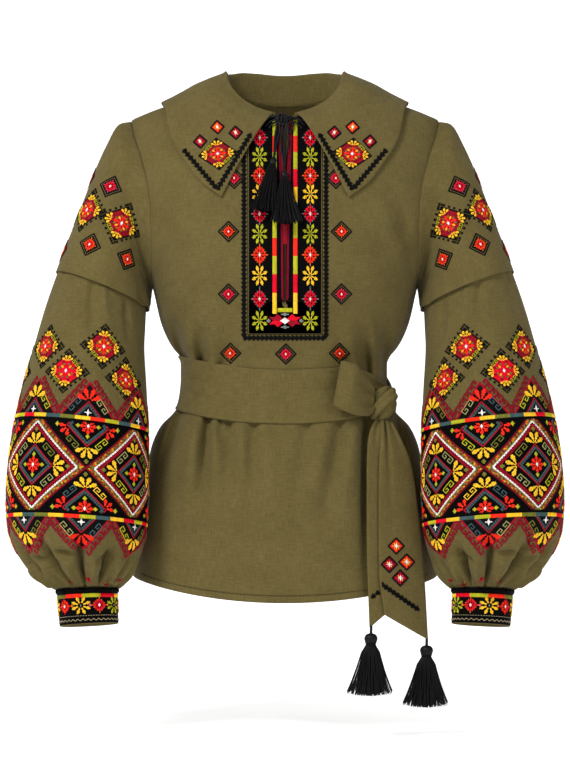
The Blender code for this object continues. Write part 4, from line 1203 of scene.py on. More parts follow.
# What shows of the cord where it is tied: places across and up, and how far off the chest.
TIE_TURNS = [
    [(-26, -25, 0.6), (-17, -19.5, 3.2), (-6, -19, 6.0), (3, -23, 6.6), (12, -20.5, 5.0),
     (24, -25, 0.8)],
    [(-24, -31, 0.6), (-15, -24, 3.4), (-5, -25, 6.8), (5, -19.5, 6.0), (14, -22, 4.0),
     (24, -30, 0.8)],
    [(-20, -34, 1.0), (-13, -27, 3.6), (-4, -29, 5.6), (6, -27.5, 5.4), (13, -27, 3.2),
     (21, -34, 1.0)],
    [(-13, -20, 3.0), (-10, -28, 4.6), (-12.5, -46, 2.0), (-13.4, -68, 3.0)],
    [(-7, -26, 5.6), (-7, -40, 2.4), (-10.5, -55, 2.0), (-12.8, -69, 3.0)],
    [(-2, -27, 5.6), (-4.6, -42, 2.4), (-5.2, -56, 1.8), (-2.6, -72, 2.2), (-1.2, -84, 3.4)],
    [(2, -27, 5.6), (3.6, -42, 2.4), (3.8, -56, 1.8), (0.8, -72, 2.2), (-0.8, -84, 3.4)],
    [(8, -24, 4.4), (9.5, -32, 3.0), (6, -40, 1.6), (4, -34, 3.0), (3, -26, 5.4)],
]


def tie_turns():
    for turn in TIE_TURNS:
        rows = [np.array([[x, -(float(body_depth(x, z)) + TIE_CORD / 2 + lift), z]])
                for x, z, lift in turn]
        yield loft(rows, np.linspace(0, len(rows) - 1, 9 * len(rows)))[:, 0]
    for k in range(4):
        around = 2 * pi * np.arange(19) / 18
        yield TIE_KNOT_MIDDLE + np.stack([-5.5 + 3.4 * k + 1.4 * np.cos(around + k),
                                          5.2 * np.sin(around), 6.4 * np.cos(around)], -1)


tie_knot_piece = closed_lump("neck_knot", tie_knot(), BLACK_SILK, "silk")
strand_runs("neck_knot_turns", tie_turns(), TIE_CORD / 2 - 0.15, 8)
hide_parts("tie_knot")
CordEnd = namedtuple("CordEnd", "start_x start_z end_x end_z count length spread lean")
CORD_ENDS = {
    "left": CordEnd(-9, -27.7, -13.6, -70, 8, 68, 19, (-12, -34)),
    "right": CordEnd(-1, -28.3, -1, -86, 10, 67, 21, (3, -33)),
}
for label, end in CORD_ENDS.items():
    route = tie_route(end.start_x, end.start_z, end.end_x, end.end_z, end.count)
    top = route[-1] + np.array([0, 0, -0.7])
    share = np.linspace(0, TIE_CORE / end.length, 6)[1:, None]
    core = top + share * np.array([end.lean[0], end.lean[1], -end.length])
    cord, middle = cord_piece(f"neck_cord_{label}", route, core)
    skirt = tassel(f"neck_tassel_{label}", top, TIE_TASSEL_HEAD, end.length, end.spread, end.lean,
                   TIE_STRANDS, flat=0.5)
    length = float(np.linalg.norm(np.diff(middle, axis=0), axis=1).sum()) * MM
    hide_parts(f"tie_cord_{label}")
    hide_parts(f"tie_tassel_{label}")
    [tuple(float(part) * MM for part in point) for point in middle[::5]]


# ---------------------------------------------------------------------------------------------
# Embroidery thread. Every motif is worked in satin stitches of dyed silk, laid side by side over
# the linen: grounds first, then outlines, then petals and hearts on top of them.

def dyed(red, green, blue):
    """A thread's colour from its look on a dye card, 0 to 255."""
    return tuple(((part / 255 + 0.055) / 1.055) ** 2.4 for part in (red, green, blue))


BLACK, CRIMSON, RED = dyed(7, 7, 8), dyed(222, 10, 40), dyed(240, 46, 26)
MAROON, YELLOW, ORANGE = dyed(122, 12, 28), dyed(248, 198, 48), dyed(240, 126, 38)
DEEP = dyed(158, 14, 36)
LIME, OLIVE, TEAL = dyed(184, 182, 36), dyed(118, 118, 44), dyed(66, 90, 92)
WHITE, GREY, SLATE = dyed(244, 238, 232), dyed(128, 132, 126), dyed(38, 48, 50)
PURPLE, PALE, PINK = dyed(118, 10, 52), dyed(156, 156, 96), dyed(216, 96, 122)
SHADOW = dyed(56, 52, 36)

STITCH_PITCH = 1.15          # from one laid stitch to the next
FINE_PITCH = 0.9             # the same in the small hearts and tips
STITCH_REACH = 5.5           # the longest stitch, past which it is caught down
STITCH_HEIGHT = 0.5
LAYER_LIFT = 0.34            # each layer of stitches lies this much above the last

Stitch = namedtuple("Stitch", "start_x start_y end_x end_y width red green blue layer")


def stitch_form():
    """One stitch: a thread's rounded back, drawn in where it enters the cloth."""
    mesh = bpy.data.meshes.new("stitch_form")
    points = [(-0.5, -0.5, -0.3), (-0.5, 0.5, -0.3), (0.5, 0.5, -0.3), (0.5, -0.5, -0.3),
              (-0.3, 0, 1), (0.3, 0, 1)]
    mesh.from_pydata(points, [], [(0, 1, 2, 3), (0, 3, 5, 4), (2, 1, 4, 5), (1, 0, 4), (3, 2, 5)])
    layer = mesh.uv_layers.new(name="stitch")
    for corner, loop in zip(layer.data, mesh.loops):
        corner.uv = points[loop.vertex_index][:2]
    mesh.shade_smooth()
    return bpy.data.objects.new("stitch_form", mesh)


def stitch_tree():
    """A stitch on every point, along the point's run, with its back to the cloth's outside."""
    tree, sockets, given, made = geometry_tree(
        "laid_stitches", [("Stitch", "NodeSocketObject", None),
                          ("Finish", "NodeSocketMaterial", None)])
    form = tree.nodes.new("GeometryNodeObjectInfo")
    turn = tree.nodes.new("FunctionNodeAxesToRotation")
    lay = tree.nodes.new("GeometryNodeInstanceOnPoints")
    turn.primary_axis, turn.secondary_axis = "X", "Z"
    for name, node, socket in (("run", turn, "Primary Axis"), ("outside", turn, "Secondary Axis"),
                               ("size", lay, "Scale")):
        attribute = tree.nodes.new("GeometryNodeInputNamedAttribute")
        attribute.data_type = "FLOAT_VECTOR"
        attribute.inputs["Name"].default_value = name
        wired(tree, (attribute, "Attribute", node, socket))
    wired(tree, (given, "Stitch", form, "Object"), (given, "Geometry", lay, "Points"),
          (form, "Geometry", lay, "Instance"), (turn, "Rotation", lay, "Rotation"))
    put_out(tree, lay, "Instances", given, made)
    return tree, sockets


def dyed_silk():
    made, tree, shader = material("dyed_silk", {"Specular IOR Level": 0.09})
    colour = tree.nodes.new("ShaderNodeAttribute")
    colour.attribute_name = "thread"
    place = tree.nodes.new("ShaderNodeTexCoord")
    uneven = noise(tree, stretched(tree, place.outputs["Object"], 0.0016, 0.0016), 1.0, 2.0)
    mixed = tree.nodes.new("ShaderNodeMix")
    mixed.data_type, mixed.blend_type = "RGBA", "MULTIPLY"
    factor, first, second = mixed.inputs[0], mixed.inputs[6], mixed.inputs[7]
    factor.default_value = 1.0
    tree.links.new(colour.outputs["Color"], first)
    tree.links.new(ramp(tree, uneven, [(0.3, (0.8, 0.8, 0.8)), (0.7, (1.12, 1.12, 1.12))]), second)
    tree.links.new(mixed.outputs[2], shader.inputs["Base Color"])
    along, across = split(tree, uv_places(tree, "stitch"))
    twist = maths(tree, "ADD", maths(tree, "MULTIPLY", along, 14.0),
                  maths(tree, "MULTIPLY", across, 9.0))
    bumped(tree, shader, maths(tree, "ABSOLUTE", maths(tree, "SINE", twist)), 0.3, 0.00012)
    tree.links.new(maths(tree, "ADD", 0.42, maths(tree, "MULTIPLY", uneven, 0.2)),
                   shader.inputs["Roughness"])
    return made


def black_ground():
    """A ground filled with black satin stitches, one course below another."""
    made, tree, shader = material("black_ground", {"Specular IOR Level": 0.018})
    x, y = split(tree, uv_places(tree, "cloth"))
    course = maths(tree, "DIVIDE", y, STITCH_REACH * MM)
    shift = maths(tree, "MULTIPLY", maths(tree, "FLOOR", course), 0.37)
    across = maths(tree, "ADD", maths(tree, "DIVIDE", x, STITCH_PITCH * MM), shift)
    thread, end = ridges(tree, across), ridges(tree, course)
    height = maths(tree, "MULTIPLY", thread, maths(tree, "POWER", end, 0.15))
    # Painted shade: the black is darkest in the grooves between threads and at their ends, where
    # they dip into the cloth, and lightest on their crests.
    between, crest = (0.0006, 0.0005, 0.0006), (0.0034, 0.0030, 0.0034)
    tree.links.new(ramp(tree, height, [(0.1, between), (0.9, crest)]), shader.inputs["Base Color"])
    bumped(tree, shader, height, 0.5, 0.0004)
    tree.links.new(maths(tree, "SUBTRACT", 0.72, maths(tree, "MULTIPLY", thread, 0.14)),
                   shader.inputs["Roughness"])
    return made


STITCH_FORM = stitch_form()
STITCHES, STITCH_INPUTS = stitch_tree()
DYED_SILK = dyed_silk()
BLACK_GROUND = black_ground()


def legs(points):
    """A line's legs: where each starts, how far it runs across and up, and its length."""
    for (x0, y0), (x1, y1) in zip(points, points[1:]):
        yield x0, y0, x1 - x0, y1 - y0, hypot(x1 - x0, y1 - y0)


class Needle:
    """Draws motifs as stitches, at its own place, turn and scale on the cloth."""

    def __init__(self, stitches, x=0.0, y=0.0, across=(1.0, 0.0), up=(0.0, 1.0)):
        self.stitches, self.x, self.y, self.across, self.up = stitches, x, y, across, up

    def at(self, x, y, turn=0.0, wide=1.0, tall=1.0):
        """A needle at a place of this one's own."""
        c, s = cos(radians(turn)), sin(radians(turn))
        there_x, there_y = self.place(x, y)
        run = self.direction(c * wide, s * wide)
        rise = self.direction(-s * tall, c * tall)
        return Needle(self.stitches, there_x, there_y, run, rise)

    def direction(self, x, y):
        return (x * self.across[0] + y * self.up[0], x * self.across[1] + y * self.up[1])

    def place(self, x, y):
        run_x, run_y = self.direction(x, y)
        return self.x + run_x, self.y + run_y

    def stitch(self, start, end, colour, layer=0, width=STITCH_PITCH * 1.2):
        self.stitches.append(Stitch(*self.place(*start), *self.place(*end), width, *colour, layer))

    def line(self, points, colour, width=1.4, layer=1, reach=4.2):
        """A line of stitches end to end."""
        for x, y, run_x, run_y, length in legs(points):
            count = max(1, round(length / reach))
            for k in range(count):
                a, b = k / count - 0.06 / count, (k + 1.06) / count
                self.stitch((x + run_x * a, y + run_y * a), (x + run_x * b, y + run_y * b), colour,
                            layer, width)

    def satin(self, points, colours, width, layer=1, pitch=STITCH_PITCH, each=1):
        """A band of stitches laid across a line; the colours change by turns."""
        number = 0
        for x0, y0, run_x, run_y, length in legs(points):
            nx, ny = -run_y / length * width / 2, run_x / length * width / 2
            count = max(1, round(length / pitch))
            for k in range(count):
                share = (k + 0.5) / count
                x, y = x0 + run_x * share, y0 + run_y * share
                colour = colours[number // each % len(colours)]
                number += 1
                self.stitch((x - nx, y - ny), (x + nx, y + ny), colour, layer,
                            length / count * 1.2)

    def fill(self, outline, colour, angle=0.0, layer=0, pitch=STITCH_PITCH):
        """Stitches side by side inside an outline, at an angle in degrees."""
        c, s = cos(radians(angle)), sin(radians(angle))
        turned = [(x * c + y * s, -x * s + y * c) for x, y in outline]
        low, high = min(y for _, y in turned), max(y for _, y in turned)
        rows = max(1, round((high - low) / pitch))
        step = (high - low) / rows
        for row in range(rows):
            y = low + (row + 0.5) * step
            crossings = sorted(x0 + (x1 - x0) * (y - y0) / (y1 - y0)
                               for (x0, y0), (x1, y1) in zip(turned, turned[1:] + turned[:1])
                               if (y0 > y) != (y1 > y))
            for left, right in zip(crossings[::2], crossings[1::2]):
                count = max(1, int((right - left) / STITCH_REACH + 0.99))
                cuts = [left + (right - left) * k / count for k in range(count + 1)]
                if row % 2:
                    cuts[1:-1] = [cut + 0.3 * (right - left) / count for cut in cuts[1:-1]]
                for a, b in zip(cuts, cuts[1:]):
                    self.stitch((a * c - y * s, a * s + y * c), (b * c - y * s, b * s + y * c),
                                colour, layer, step * 1.22)


def diamond(half_width, half_height=None, x=0.0, y=0.0):
    half_height = half_width if half_height is None else half_height
    return [(x + half_width, y), (x, y + half_height), (x - half_width, y), (x, y - half_height)]


def closed(outline):
    return outline + outline[:1]


def petal(needle, angle, start, end, width, colour, layer=2, blunt=0.22):
    """A drop with its point towards the flower's middle; the angle is clockwise from up."""
    inner = needle.at(0, 0, turn=-angle)
    length = end - start
    narrow, broad = start + length * 0.42, start + length * 0.76
    outline = [(0, start), (width * 0.28, narrow), (width * 0.5, broad), (width * blunt, end),
               (-width * blunt, end), (-width * 0.5, broad), (-width * 0.28, narrow)]
    inner.fill(outline, colour, angle=90, layer=layer, pitch=0.95)


def blossom(needle, size, colour, tips=None, heart=WHITE):
    """Eight petals round a white heart, with small tips between their ends."""
    for k in range(8):
        petal(needle, 45 * k, size * 0.08, size * (0.94 if k % 2 else 1.04), size * 0.42, colour)
    for k in range(8 if tips else 0):
        needle.at(0, 0, turn=22.5 + 45 * k).fill(
            diamond(size * 0.07, size * 0.13, 0, size * 0.86), tips, layer=3, pitch=FINE_PITCH)
    for k in range(4 if tips else 0):
        needle.at(0, 0, turn=90 * k).fill(diamond(size * 0.1, size * 0.12, 0, size * 1.14), tips,
                                          layer=3, pitch=FINE_PITCH)
    needle.fill(diamond(size * 0.2, size * 0.26), heart, layer=3, pitch=FINE_PITCH)


def daisy(needle, size, colour):
    """Eight parted petals round a small grey heart."""
    for k in range(8):
        petal(needle, 22.5 + 45 * k, size * 0.13, size * 1.02, size * 0.31, colour, blunt=0.12)
    needle.fill(diamond(size * 0.1), GREY, layer=3, pitch=FINE_PITCH)


def fan(needle, size, colour, leaf=None, spread=(-66, -22, 22, 66), width=0.36):
    """Petals that open from one point, and a leaf at the point they open to."""
    for angle in spread:
        petal(needle, angle, size * 0.10, size, size * width, colour)
    if leaf:
        needle.fill(diamond(size * 0.18, size * 0.26, 0, size * 1.22), leaf, angle=90, layer=2)


def meander(needle, length, height, colour, width=1.3, layer=2):
    """Two hooks that turn into each other."""
    route = [(0.18, 0.04), (0.36, 0.04), (0.36, -0.5), (0, -0.5), (0, 0.5), (1, 0.5),
             (1, -0.5), (0.64, -0.5), (0.64, 0.04), (0.82, 0.04)]
    needle.line([((x - 0.5) * length, y * height) for x, y in route], colour, width, layer)


def small_square(needle, half, colour):
    """A framed blossom: two black lines with linen between them, and a black ground."""
    needle.line(closed(diamond(half - 1.0)), BLACK, 1.9, 1)
    needle.fill(diamond(half - 3.6), BLACK, angle=45)
    blossom(needle, half * 0.46, colour, tips=ORANGE if colour is RED else PINK)


def bright_square(needle, half, colour):
    """A small square filled with one colour, with a white star on it."""
    needle.line(closed(diamond(half)), BLACK, 2.3, 1)
    needle.fill(diamond(half * 0.86), RED if colour is RED else DEEP, angle=45)
    first, second = (ORANGE, ORANGE) if colour is RED else (CRIMSON, PINK)
    for k in range(4):
        petal(needle, 90 * k, half * 0.1, half * 0.56, half * 0.2, first)
        between = YELLOW if k % 2 else second
        petal(needle, 45 + 90 * k, half * 0.1, half * 0.44, half * 0.13, between)
    needle.fill(diamond(half * 0.13, half * 0.36), WHITE, layer=3, pitch=FINE_PITCH)
    needle.fill(diamond(half * 0.36, half * 0.13), WHITE, layer=3, pitch=FINE_PITCH)


def ornate_square(needle, half, colour=RED, toothed=True):
    """The large square: a toothed black frame, fans in its corners and a red field."""
    rim = half * (0.86 if toothed else 0.97)
    half = rim / 0.86
    for k in range(4):
        side = needle.at(0, 0, turn=90 * k)
        for step in range(5 if toothed else 0):
            share = (step + 0.5) / 5
            tooth = side.at(rim * (1 - share) + half * 0.075, rim * share + half * 0.075, turn=45)
            tooth.fill([(-1.25, -1.3), (1.25, -1.3), (1.25, 1.3), (-1.25, 1.3)], BLACK, layer=1)
        for x, y in ((0, 1.01), (-0.085, 0.93), (0.085, 0.93)) if toothed else ():
            side.fill(diamond(half * 0.055, None, half * x, half * y), BLACK, layer=1)
    needle.line(closed(diamond(rim)), BLACK, 1.8, 1)
    needle.fill(diamond(rim * 0.98), BLACK, angle=45)
    far, near, edge = half * 0.6, half * 0.5, half * 0.2
    field = [(far, edge), (edge, far), (-edge, near), (-near, edge), (-far, -edge), (-edge, -far),
             (edge, -near), (near, -edge)]
    needle.fill(field, CRIMSON if colour is CRIMSON else DEEP, angle=90, layer=1)
    for k in range(8):
        ray = needle.at(0, 0, turn=22.5 + 45 * k)
        ray.fill(diamond(half * 0.07, half * 0.09, 0, half * 0.44), MAROON, layer=2)
        ray.fill(diamond(half * 0.055, half * 0.06, 0, half * 0.32), OLIVE, layer=3,
                 pitch=FINE_PITCH)
    for k in range(4):
        side = needle.at(0, 0, turn=90 * k)
        fan(side.at(0, half * 0.46), half * 0.29, YELLOW, spread=(-62, -22, 22, 62), width=0.34)
        if k % 2:
            corner = side.at(half * 0.385, half * 0.385, turn=-45)
            meander(corner, half * 0.3, half * 0.12, LIME, 0.8)
    blossom(needle, half * 0.36, colour)
    for k in range(4):
        needle.at(0, 0, turn=45 + 90 * k).fill(diamond(half * 0.05, half * 0.07, 0, half * 0.26),
                                               YELLOW, layer=3, pitch=FINE_PITCH)


def chain(needle, points, half_width, half_length, colour=BLACK):
    """A border of spade-shaped leaves that overlap along a line."""
    for x0, y0, run_x, run_y, length in legs(points):
        line = needle.at(x0, y0, turn=degrees(atan2(run_y, run_x)))
        count = max(1, round(length / (2 * half_length)))
        for k in range(count):
            x = length * (k + 0.5) / count
            spade = [(x - half_length * 1.3, half_width * 0.3),
                     (x - half_length * 0.75, half_width),
                     (x + half_length * 0.5, half_width * 0.45), (x + half_length * 1.1, 0)]
            spade += [(across, -up) for across, up in spade[-2::-1]]
            line.fill(spade, colour, angle=90, layer=1, pitch=1.05)


def sewn(stitches, place):
    """Stitches laid on the cloth. place gives their ends' points and outsides."""
    table = np.array(stitches, float)
    starts, out_starts = place(table[:, 0:2])
    ends, out_ends = place(table[:, 2:4])
    outside = out_starts + out_ends
    outside /= np.maximum(np.linalg.norm(outside, axis=1), 1e-9)[:, None]
    run = ends - starts
    length = np.linalg.norm(run, axis=1)
    lift = (0.12 + LAYER_LIFT * table[:, 8]) * MM
    middle = (starts + ends) / 2 + outside * lift[:, None]
    size = np.stack([length + 0.25 * MM, table[:, 4] * MM,
                     np.full(len(length), STITCH_HEIGHT * MM)], -1)
    longest = 2 * MM * np.linalg.norm(table[:, 2:4] - table[:, 0:2], axis=1) + 2 * MM
    good = np.isfinite(length) & (length > 0.2 * MM) & (length < longest)
    return [part[good] for part in (middle, run, outside, size, table[:, 5:8])]


def worn_on(side, parts):
    """Parts sewn for the right side, or their mirror images for the left."""
    across = np.array([side, 1, 1])
    return [[middle * across, run * across, outside * across, size, colour]
            for middle, run, outside, size, colour in parts]


def embroidery_piece(name, parts):
    """One piece of embroidery from all that was sewn for it."""
    middle, run, outside, size, colour = (np.concatenate(part) for part in zip(*parts))
    mesh = bpy.data.meshes.new(f"{name}_points")
    mesh.from_pydata(middle.tolist(), [], [])
    for label, values in (("run", run), ("outside", outside), ("size", size)):
        mesh.attributes.new(label, "FLOAT_VECTOR", "POINT").data.foreach_set(
            "vector", values.astype(np.float32).reshape(-1))
    colours = np.column_stack([colour, np.ones(len(colour))])
    mesh.attributes.new("thread", "FLOAT_COLOR", "POINT").data.foreach_set(
        "color", colours.astype(np.float32).reshape(-1))
    made = made_by_nodes(name, mesh, STITCHES, STITCH_INPUTS,
                         {"Stitch": STITCH_FORM, "Finish": DYED_SILK}, "embroidery")
    for label in ("run", "outside", "size"):
        made.data.attributes.remove(made.data.attributes[label])
    return made


class Cloth:
    """Grids of cloth that can be sewn on, as they are seen from the front or around a point."""

    def __init__(self, *grids):
        self.trees = []
        for grid in grids:
            index = np.arange(grid[..., 0].size).reshape(grid.shape[:2])
            self.trees.append(BVHTree.FromPolygons((grid.reshape(-1, 3) * MM).tolist(),
                                                   spread_quads(index).tolist()))

    def hit(self, start, direction, reach):
        best = None
        for tree in self.trees:
            place, normal, _, distance = tree.ray_cast(start, direction, reach)
            if place is not None and (best is None or distance < best[2]):
                best = (place, -normal if normal.dot(direction) > 0 else normal, distance)
        if best is None:
            return (float("nan"),) * 3, (0.0, 0.0, 1.0)
        return tuple(best[0]), tuple(best[1])

    def seen(self, points):
        """Points and outsides of places across and up, as they are seen from the front."""
        eye = Vector((0, -CAMERA_DISTANCE, CAMERA_HEIGHT))
        found = [self.hit(eye, Vector((x * MM, CAMERA_DISTANCE, z * MM - eye.z)).normalized(), 5.0)
                 for x, z in points]
        return [np.array(part) for part in zip(*found)]

    def pressed(self, place, outside, up):
        """A flat motif's own places, pressed onto the cloth around a point in millimetres."""
        place, outside = Vector(place) * MM, Vector(outside).normalized()
        up = Vector(up)
        up = (up - outside * up.dot(outside)).normalized()
        across = up.cross(outside).normalized()
        start = place + outside * 0.03

        def press(points):
            found = [self.hit(start + across * (x * MM) + up * (y * MM), -outside, 0.09)
                     for x, y in points]
            return [np.array(part) for part in zip(*found)]
        return press


# ---------------------------------------------------------------------------------------------
# Sleeve embroidery. Round the full of each sleeve goes a wide black band of four rhombs between
# two bright strips, with seven peaks above it and seven below; squares are scattered over it.

Tube = namedtuple("Tube", "grid normals")


def round_tube(on, girth):
    """Places round and up a tube: from its outer line over its front, and its outer heights."""
    rows, columns = on.grid.shape[:2]
    heights = on.grid[:, 0, 2]

    def place(points):
        column = (points[:, 0] / girth % 1) * columns
        row = np.interp(-points[:, 1], -heights, np.arange(rows))
        i = np.minimum(row.astype(int), rows - 2)
        j = column.astype(int) % columns
        after = (j + 1) % columns
        u, v = (row - i)[:, None], (column % 1)[:, None]
        return [((1 - u) * ((1 - v) * values[i, j] + v * values[i, after])
                 + u * ((1 - v) * values[i + 1, j] + v * values[i + 1, after])) * scale
                for values, scale in ((on.grid, MM), (on.normals, 1.0))]
    return place


def on_tube(on, turn, height):
    """A point of a tube, with its outside and the way up it."""
    rows, columns = on.grid.shape[:2]
    i = int(np.clip(np.argmin(np.abs(on.grid[:, 0, 2] - height)), 1, rows - 2))
    j = round(turn / 360 * columns) % columns
    return on.grid[i, j], on.normals[i, j], on.grid[i - 1, j] - on.grid[i + 1, j]


BAND_MIDDLE, BAND_HALF = -448.5, 60.0
STRIP_WIDTH, STRIP_STRETCHES, BLACK_EDGE = 4.5, 28, 54.4
RHOMBS, RHOMB_TURN = 4, 55.0
RHOMB_WIDE, RHOMB_TALL = 56.0, 53.7
HEART_WIDE, HEART_TALL, HEART_FAN = 25.5, 24.4, 14.2
PEAKS, PEAK_TURN_ABOVE, PEAK_TURN_BELOW = 7, 47.5, 46.0
PEAK_WIDE, PEAK_TALL = 33.5, 41.0
MOSAIC = [ORANGE, OLIVE, DEEP, OLIVE, MAROON, LIME, RED, OLIVE, MAROON, OLIVE, DEEP, OLIVE]
STRIP_COLOURS = [LIME, CRIMSON, YELLOW, TEAL, OLIVE, YELLOW, RED, LIME, TEAL, YELLOW, CRIMSON]


def turn_place(turn):
    return turn / 360 * SLEEVE_ROUND


def heart(needle, wide=HEART_WIDE, tall=HEART_TALL):
    """The rhomb's inner diamond: crimson and teal frames round a blossom on black."""
    needle.line(closed(diamond(wide, tall)), DEEP, 2.0, 1)
    needle.satin(closed(diamond(wide - 3.5, tall - 3.4)), [TEAL, TEAL, SLATE], 3.6, 1, 1.0)
    blossom(needle, 9.6, RED)
    for k in range(4):
        needle.at(0, 0, turn=90 * k).fill(diamond(2.5, 2.9, 0, 12.4), LIME, layer=2)


def rhomb(needle):
    needle.satin(closed(diamond(RHOMB_WIDE - 1.3, RHOMB_TALL - 1.2)), [WHITE], 2.2)
    needle.line(closed(diamond(RHOMB_WIDE + 1.4, RHOMB_TALL + 1.3)), OLIVE, 1.1, 1)
    for inset, shift in ((3.6, 0), (5.9, 5)):
        band = diamond(RHOMB_WIDE + inset, RHOMB_TALL + inset)
        needle.satin(closed(band), MOSAIC[shift:] + MOSAIC[:shift], 2.0, 1, 1.2, 2)
    needle.satin(closed(diamond(RHOMB_WIDE + 8.9, RHOMB_TALL + 8.5)), [MAROON], 2.0)
    for x0, y0, run_x, run_y, length in legs(closed(diamond(RHOMB_WIDE - 5.0, RHOMB_TALL - 4.8))):
        side = needle.at(x0, y0, turn=degrees(atan2(run_y, run_x)))
        count = round(length / 1.9)
        for k in range(count):
            x = length * (k + 0.5) / count
            side.stitch((x, 2.6), (x, -2.6 if k % 2 else -0.2), DEEP, 2, 1.6)
    heart(needle)
    for k, reach in enumerate((HEART_TALL, HEART_WIDE, HEART_TALL, HEART_WIDE)):
        fan(needle.at(0, 0, turn=90 * k).at(0, reach + 1.0), HEART_FAN, YELLOW, OLIVE)
    slope = degrees(atan2(RHOMB_TALL, RHOMB_WIDE))
    for x, y, colour in ((1, 1, OLIVE), (-1, 1, PALE), (-1, -1, LIME), (1, -1, PALE)):
        meander(needle.at(19.6 * x, 18.6 * y, turn=-slope * x * y), 16.0, 6.4, colour, 1.2)


def crossing(needle, colours):
    """What fills the triangle above two rhombs' crossing: half a heart, hooks and fans."""
    middle = RHOMB_TALL - 3.0
    heart(needle.at(0, middle))
    fan(needle.at(0, middle - HEART_TALL - 1.0, turn=180), HEART_FAN, YELLOW, OLIVE)
    slope = degrees(atan2(RHOMB_TALL, RHOMB_WIDE))
    for x, colour in zip((-1, 1), colours):
        meander(needle.at(17.2 * x, 30.5, turn=slope * x), 15.5, 6.0, colour, 1.2)
        fan(needle.at(23.5 * x, 48.5, turn=-128 * x), 11.5, RED, spread=(-46, 0, 46))
        needle.fill(diamond(2.6, 2.9, 37.5 * x, 50.6), LIME, layer=2)


BAND_DROP_ABOVE, BAND_DROP_BELOW = 10.0, 4.5     # how much lower it runs on the sleeve's inner line


def band_lie(points):
    """The band's places, drawn down towards the sleeve's inner line."""
    inner = (1 - np.cos(2 * pi * points[:, 0] / SLEEVE_ROUND)) / 2
    above = np.clip((points[:, 1] - BAND_MIDDLE + BAND_HALF) / (2 * BAND_HALF), 0, 1)
    drop = BAND_DROP_BELOW + (BAND_DROP_ABOVE - BAND_DROP_BELOW) * above
    return band_tube(np.stack([points[:, 0], points[:, 1] - drop * inner], -1))


def sleeve_band():
    stitches = []
    for k in range(RHOMBS):
        middle = turn_place(RHOMB_TURN + 360 * k / RHOMBS)
        rhomb(Needle(stitches, middle, BAND_MIDDLE))
        beside = middle + SLEEVE_ROUND / RHOMBS / 2
        crossing(Needle(stitches, beside, BAND_MIDDLE), (OLIVE, LIME))
        crossing(Needle(stitches, beside, BAND_MIDDLE).at(0, 0, turn=180), (YELLOW, TEAL))
    kept = [item for item in stitches
            if abs((item.start_y + item.end_y) / 2 - BAND_MIDDLE) < BLACK_EDGE]
    for side, start in ((1, 24), (-1, 6)):
        length = SLEEVE_ROUND / STRIP_STRETCHES
        for k in range(STRIP_STRETCHES):
            x = turn_place(start) + length * k
            y = BAND_MIDDLE + side * (BAND_HALF + 0.5)
            colour = STRIP_COLOURS[k % len(STRIP_COLOURS)]
            Needle(kept).satin([(x, y), (x + length, y)], [colour], STRIP_WIDTH, 2)
    return kept


def steps_line(needle, length, rise):
    """A stepped meander along a line, as wide as its rise."""
    count = round(length / 9.4)
    pitch = length / count
    for k in range(count):
        x = pitch * k
        needle.line([(x, 1.0), (x, rise), (x + pitch * 0.66, rise), (x + pitch * 0.66, rise * 0.48),
                     (x + pitch * 0.34, rise * 0.48)], MAROON, 2.6, 1, 5.0)


def peak(needle, petals, hooks):
    """A peak on the linen beside the band: a black gable with a small heart and a fan."""
    slope = degrees(atan2(PEAK_TALL, PEAK_WIDE))
    length = hypot(PEAK_WIDE, PEAK_TALL)
    for x in (-1, 1):
        gable = [(x * PEAK_WIDE, 0), (0, PEAK_TALL), (0, 18.0), (x * 16.0, 0)]
        needle.fill(gable, BLACK, angle=x * (90 - slope), layer=0)
        needle.satin([(x * PEAK_WIDE, 0), (0, PEAK_TALL)], [DEEP], 2.8, 1, 1.2, 3)
        meander(needle.at(x * 17.6, 13.6, turn=-slope * x), 17.0, 6.2, hooks[x > 0], 1.2)
    steps_line(needle.at(-PEAK_WIDE - 0.5, 1.0, turn=slope), length, 7.2)
    right = needle.at(PEAK_WIDE + 0.5, 1.0, turn=180 - slope, tall=-1)
    steps_line(right, length, 7.2)
    inner_wide, inner_tall = 16.5, 17.8
    needle.fill([(-inner_wide, 0), (0, inner_tall), (inner_wide, 0)], BLACK, layer=0)
    needle.line([(-inner_wide, 0), (0, inner_tall), (inner_wide, 0)], DEEP, 2.0, 1)
    needle.satin([(-inner_wide + 3.2, 0), (0, inner_tall - 3.6), (inner_wide - 3.2, 0)],
                 [TEAL, TEAL, SLATE], 3.0, 1, 1.0)
    needle.fill(diamond(1.6, 4.2, 0, 4.6), WHITE, layer=2)
    needle.fill(diamond(4.2, 1.6, 0, 4.6), WHITE, layer=2)
    fan(needle.at(0, inner_tall + 0.4), 16.0, petals)


def sleeve_peaks():
    stitches = []
    for side, start in ((1, PEAK_TURN_ABOVE), (-1, PEAK_TURN_BELOW)):
        for k in range(PEAKS):
            needle = Needle(stitches, turn_place(start + 360 * k / PEAKS),
                            BAND_MIDDLE + side * (BAND_HALF + 2.6))
            peak(needle.at(0, 0, turn=0 if side > 0 else 180), RED if k % 2 else YELLOW,
                 (TEAL, PALE) if k % 2 else (OLIVE, LIME))
    return stitches


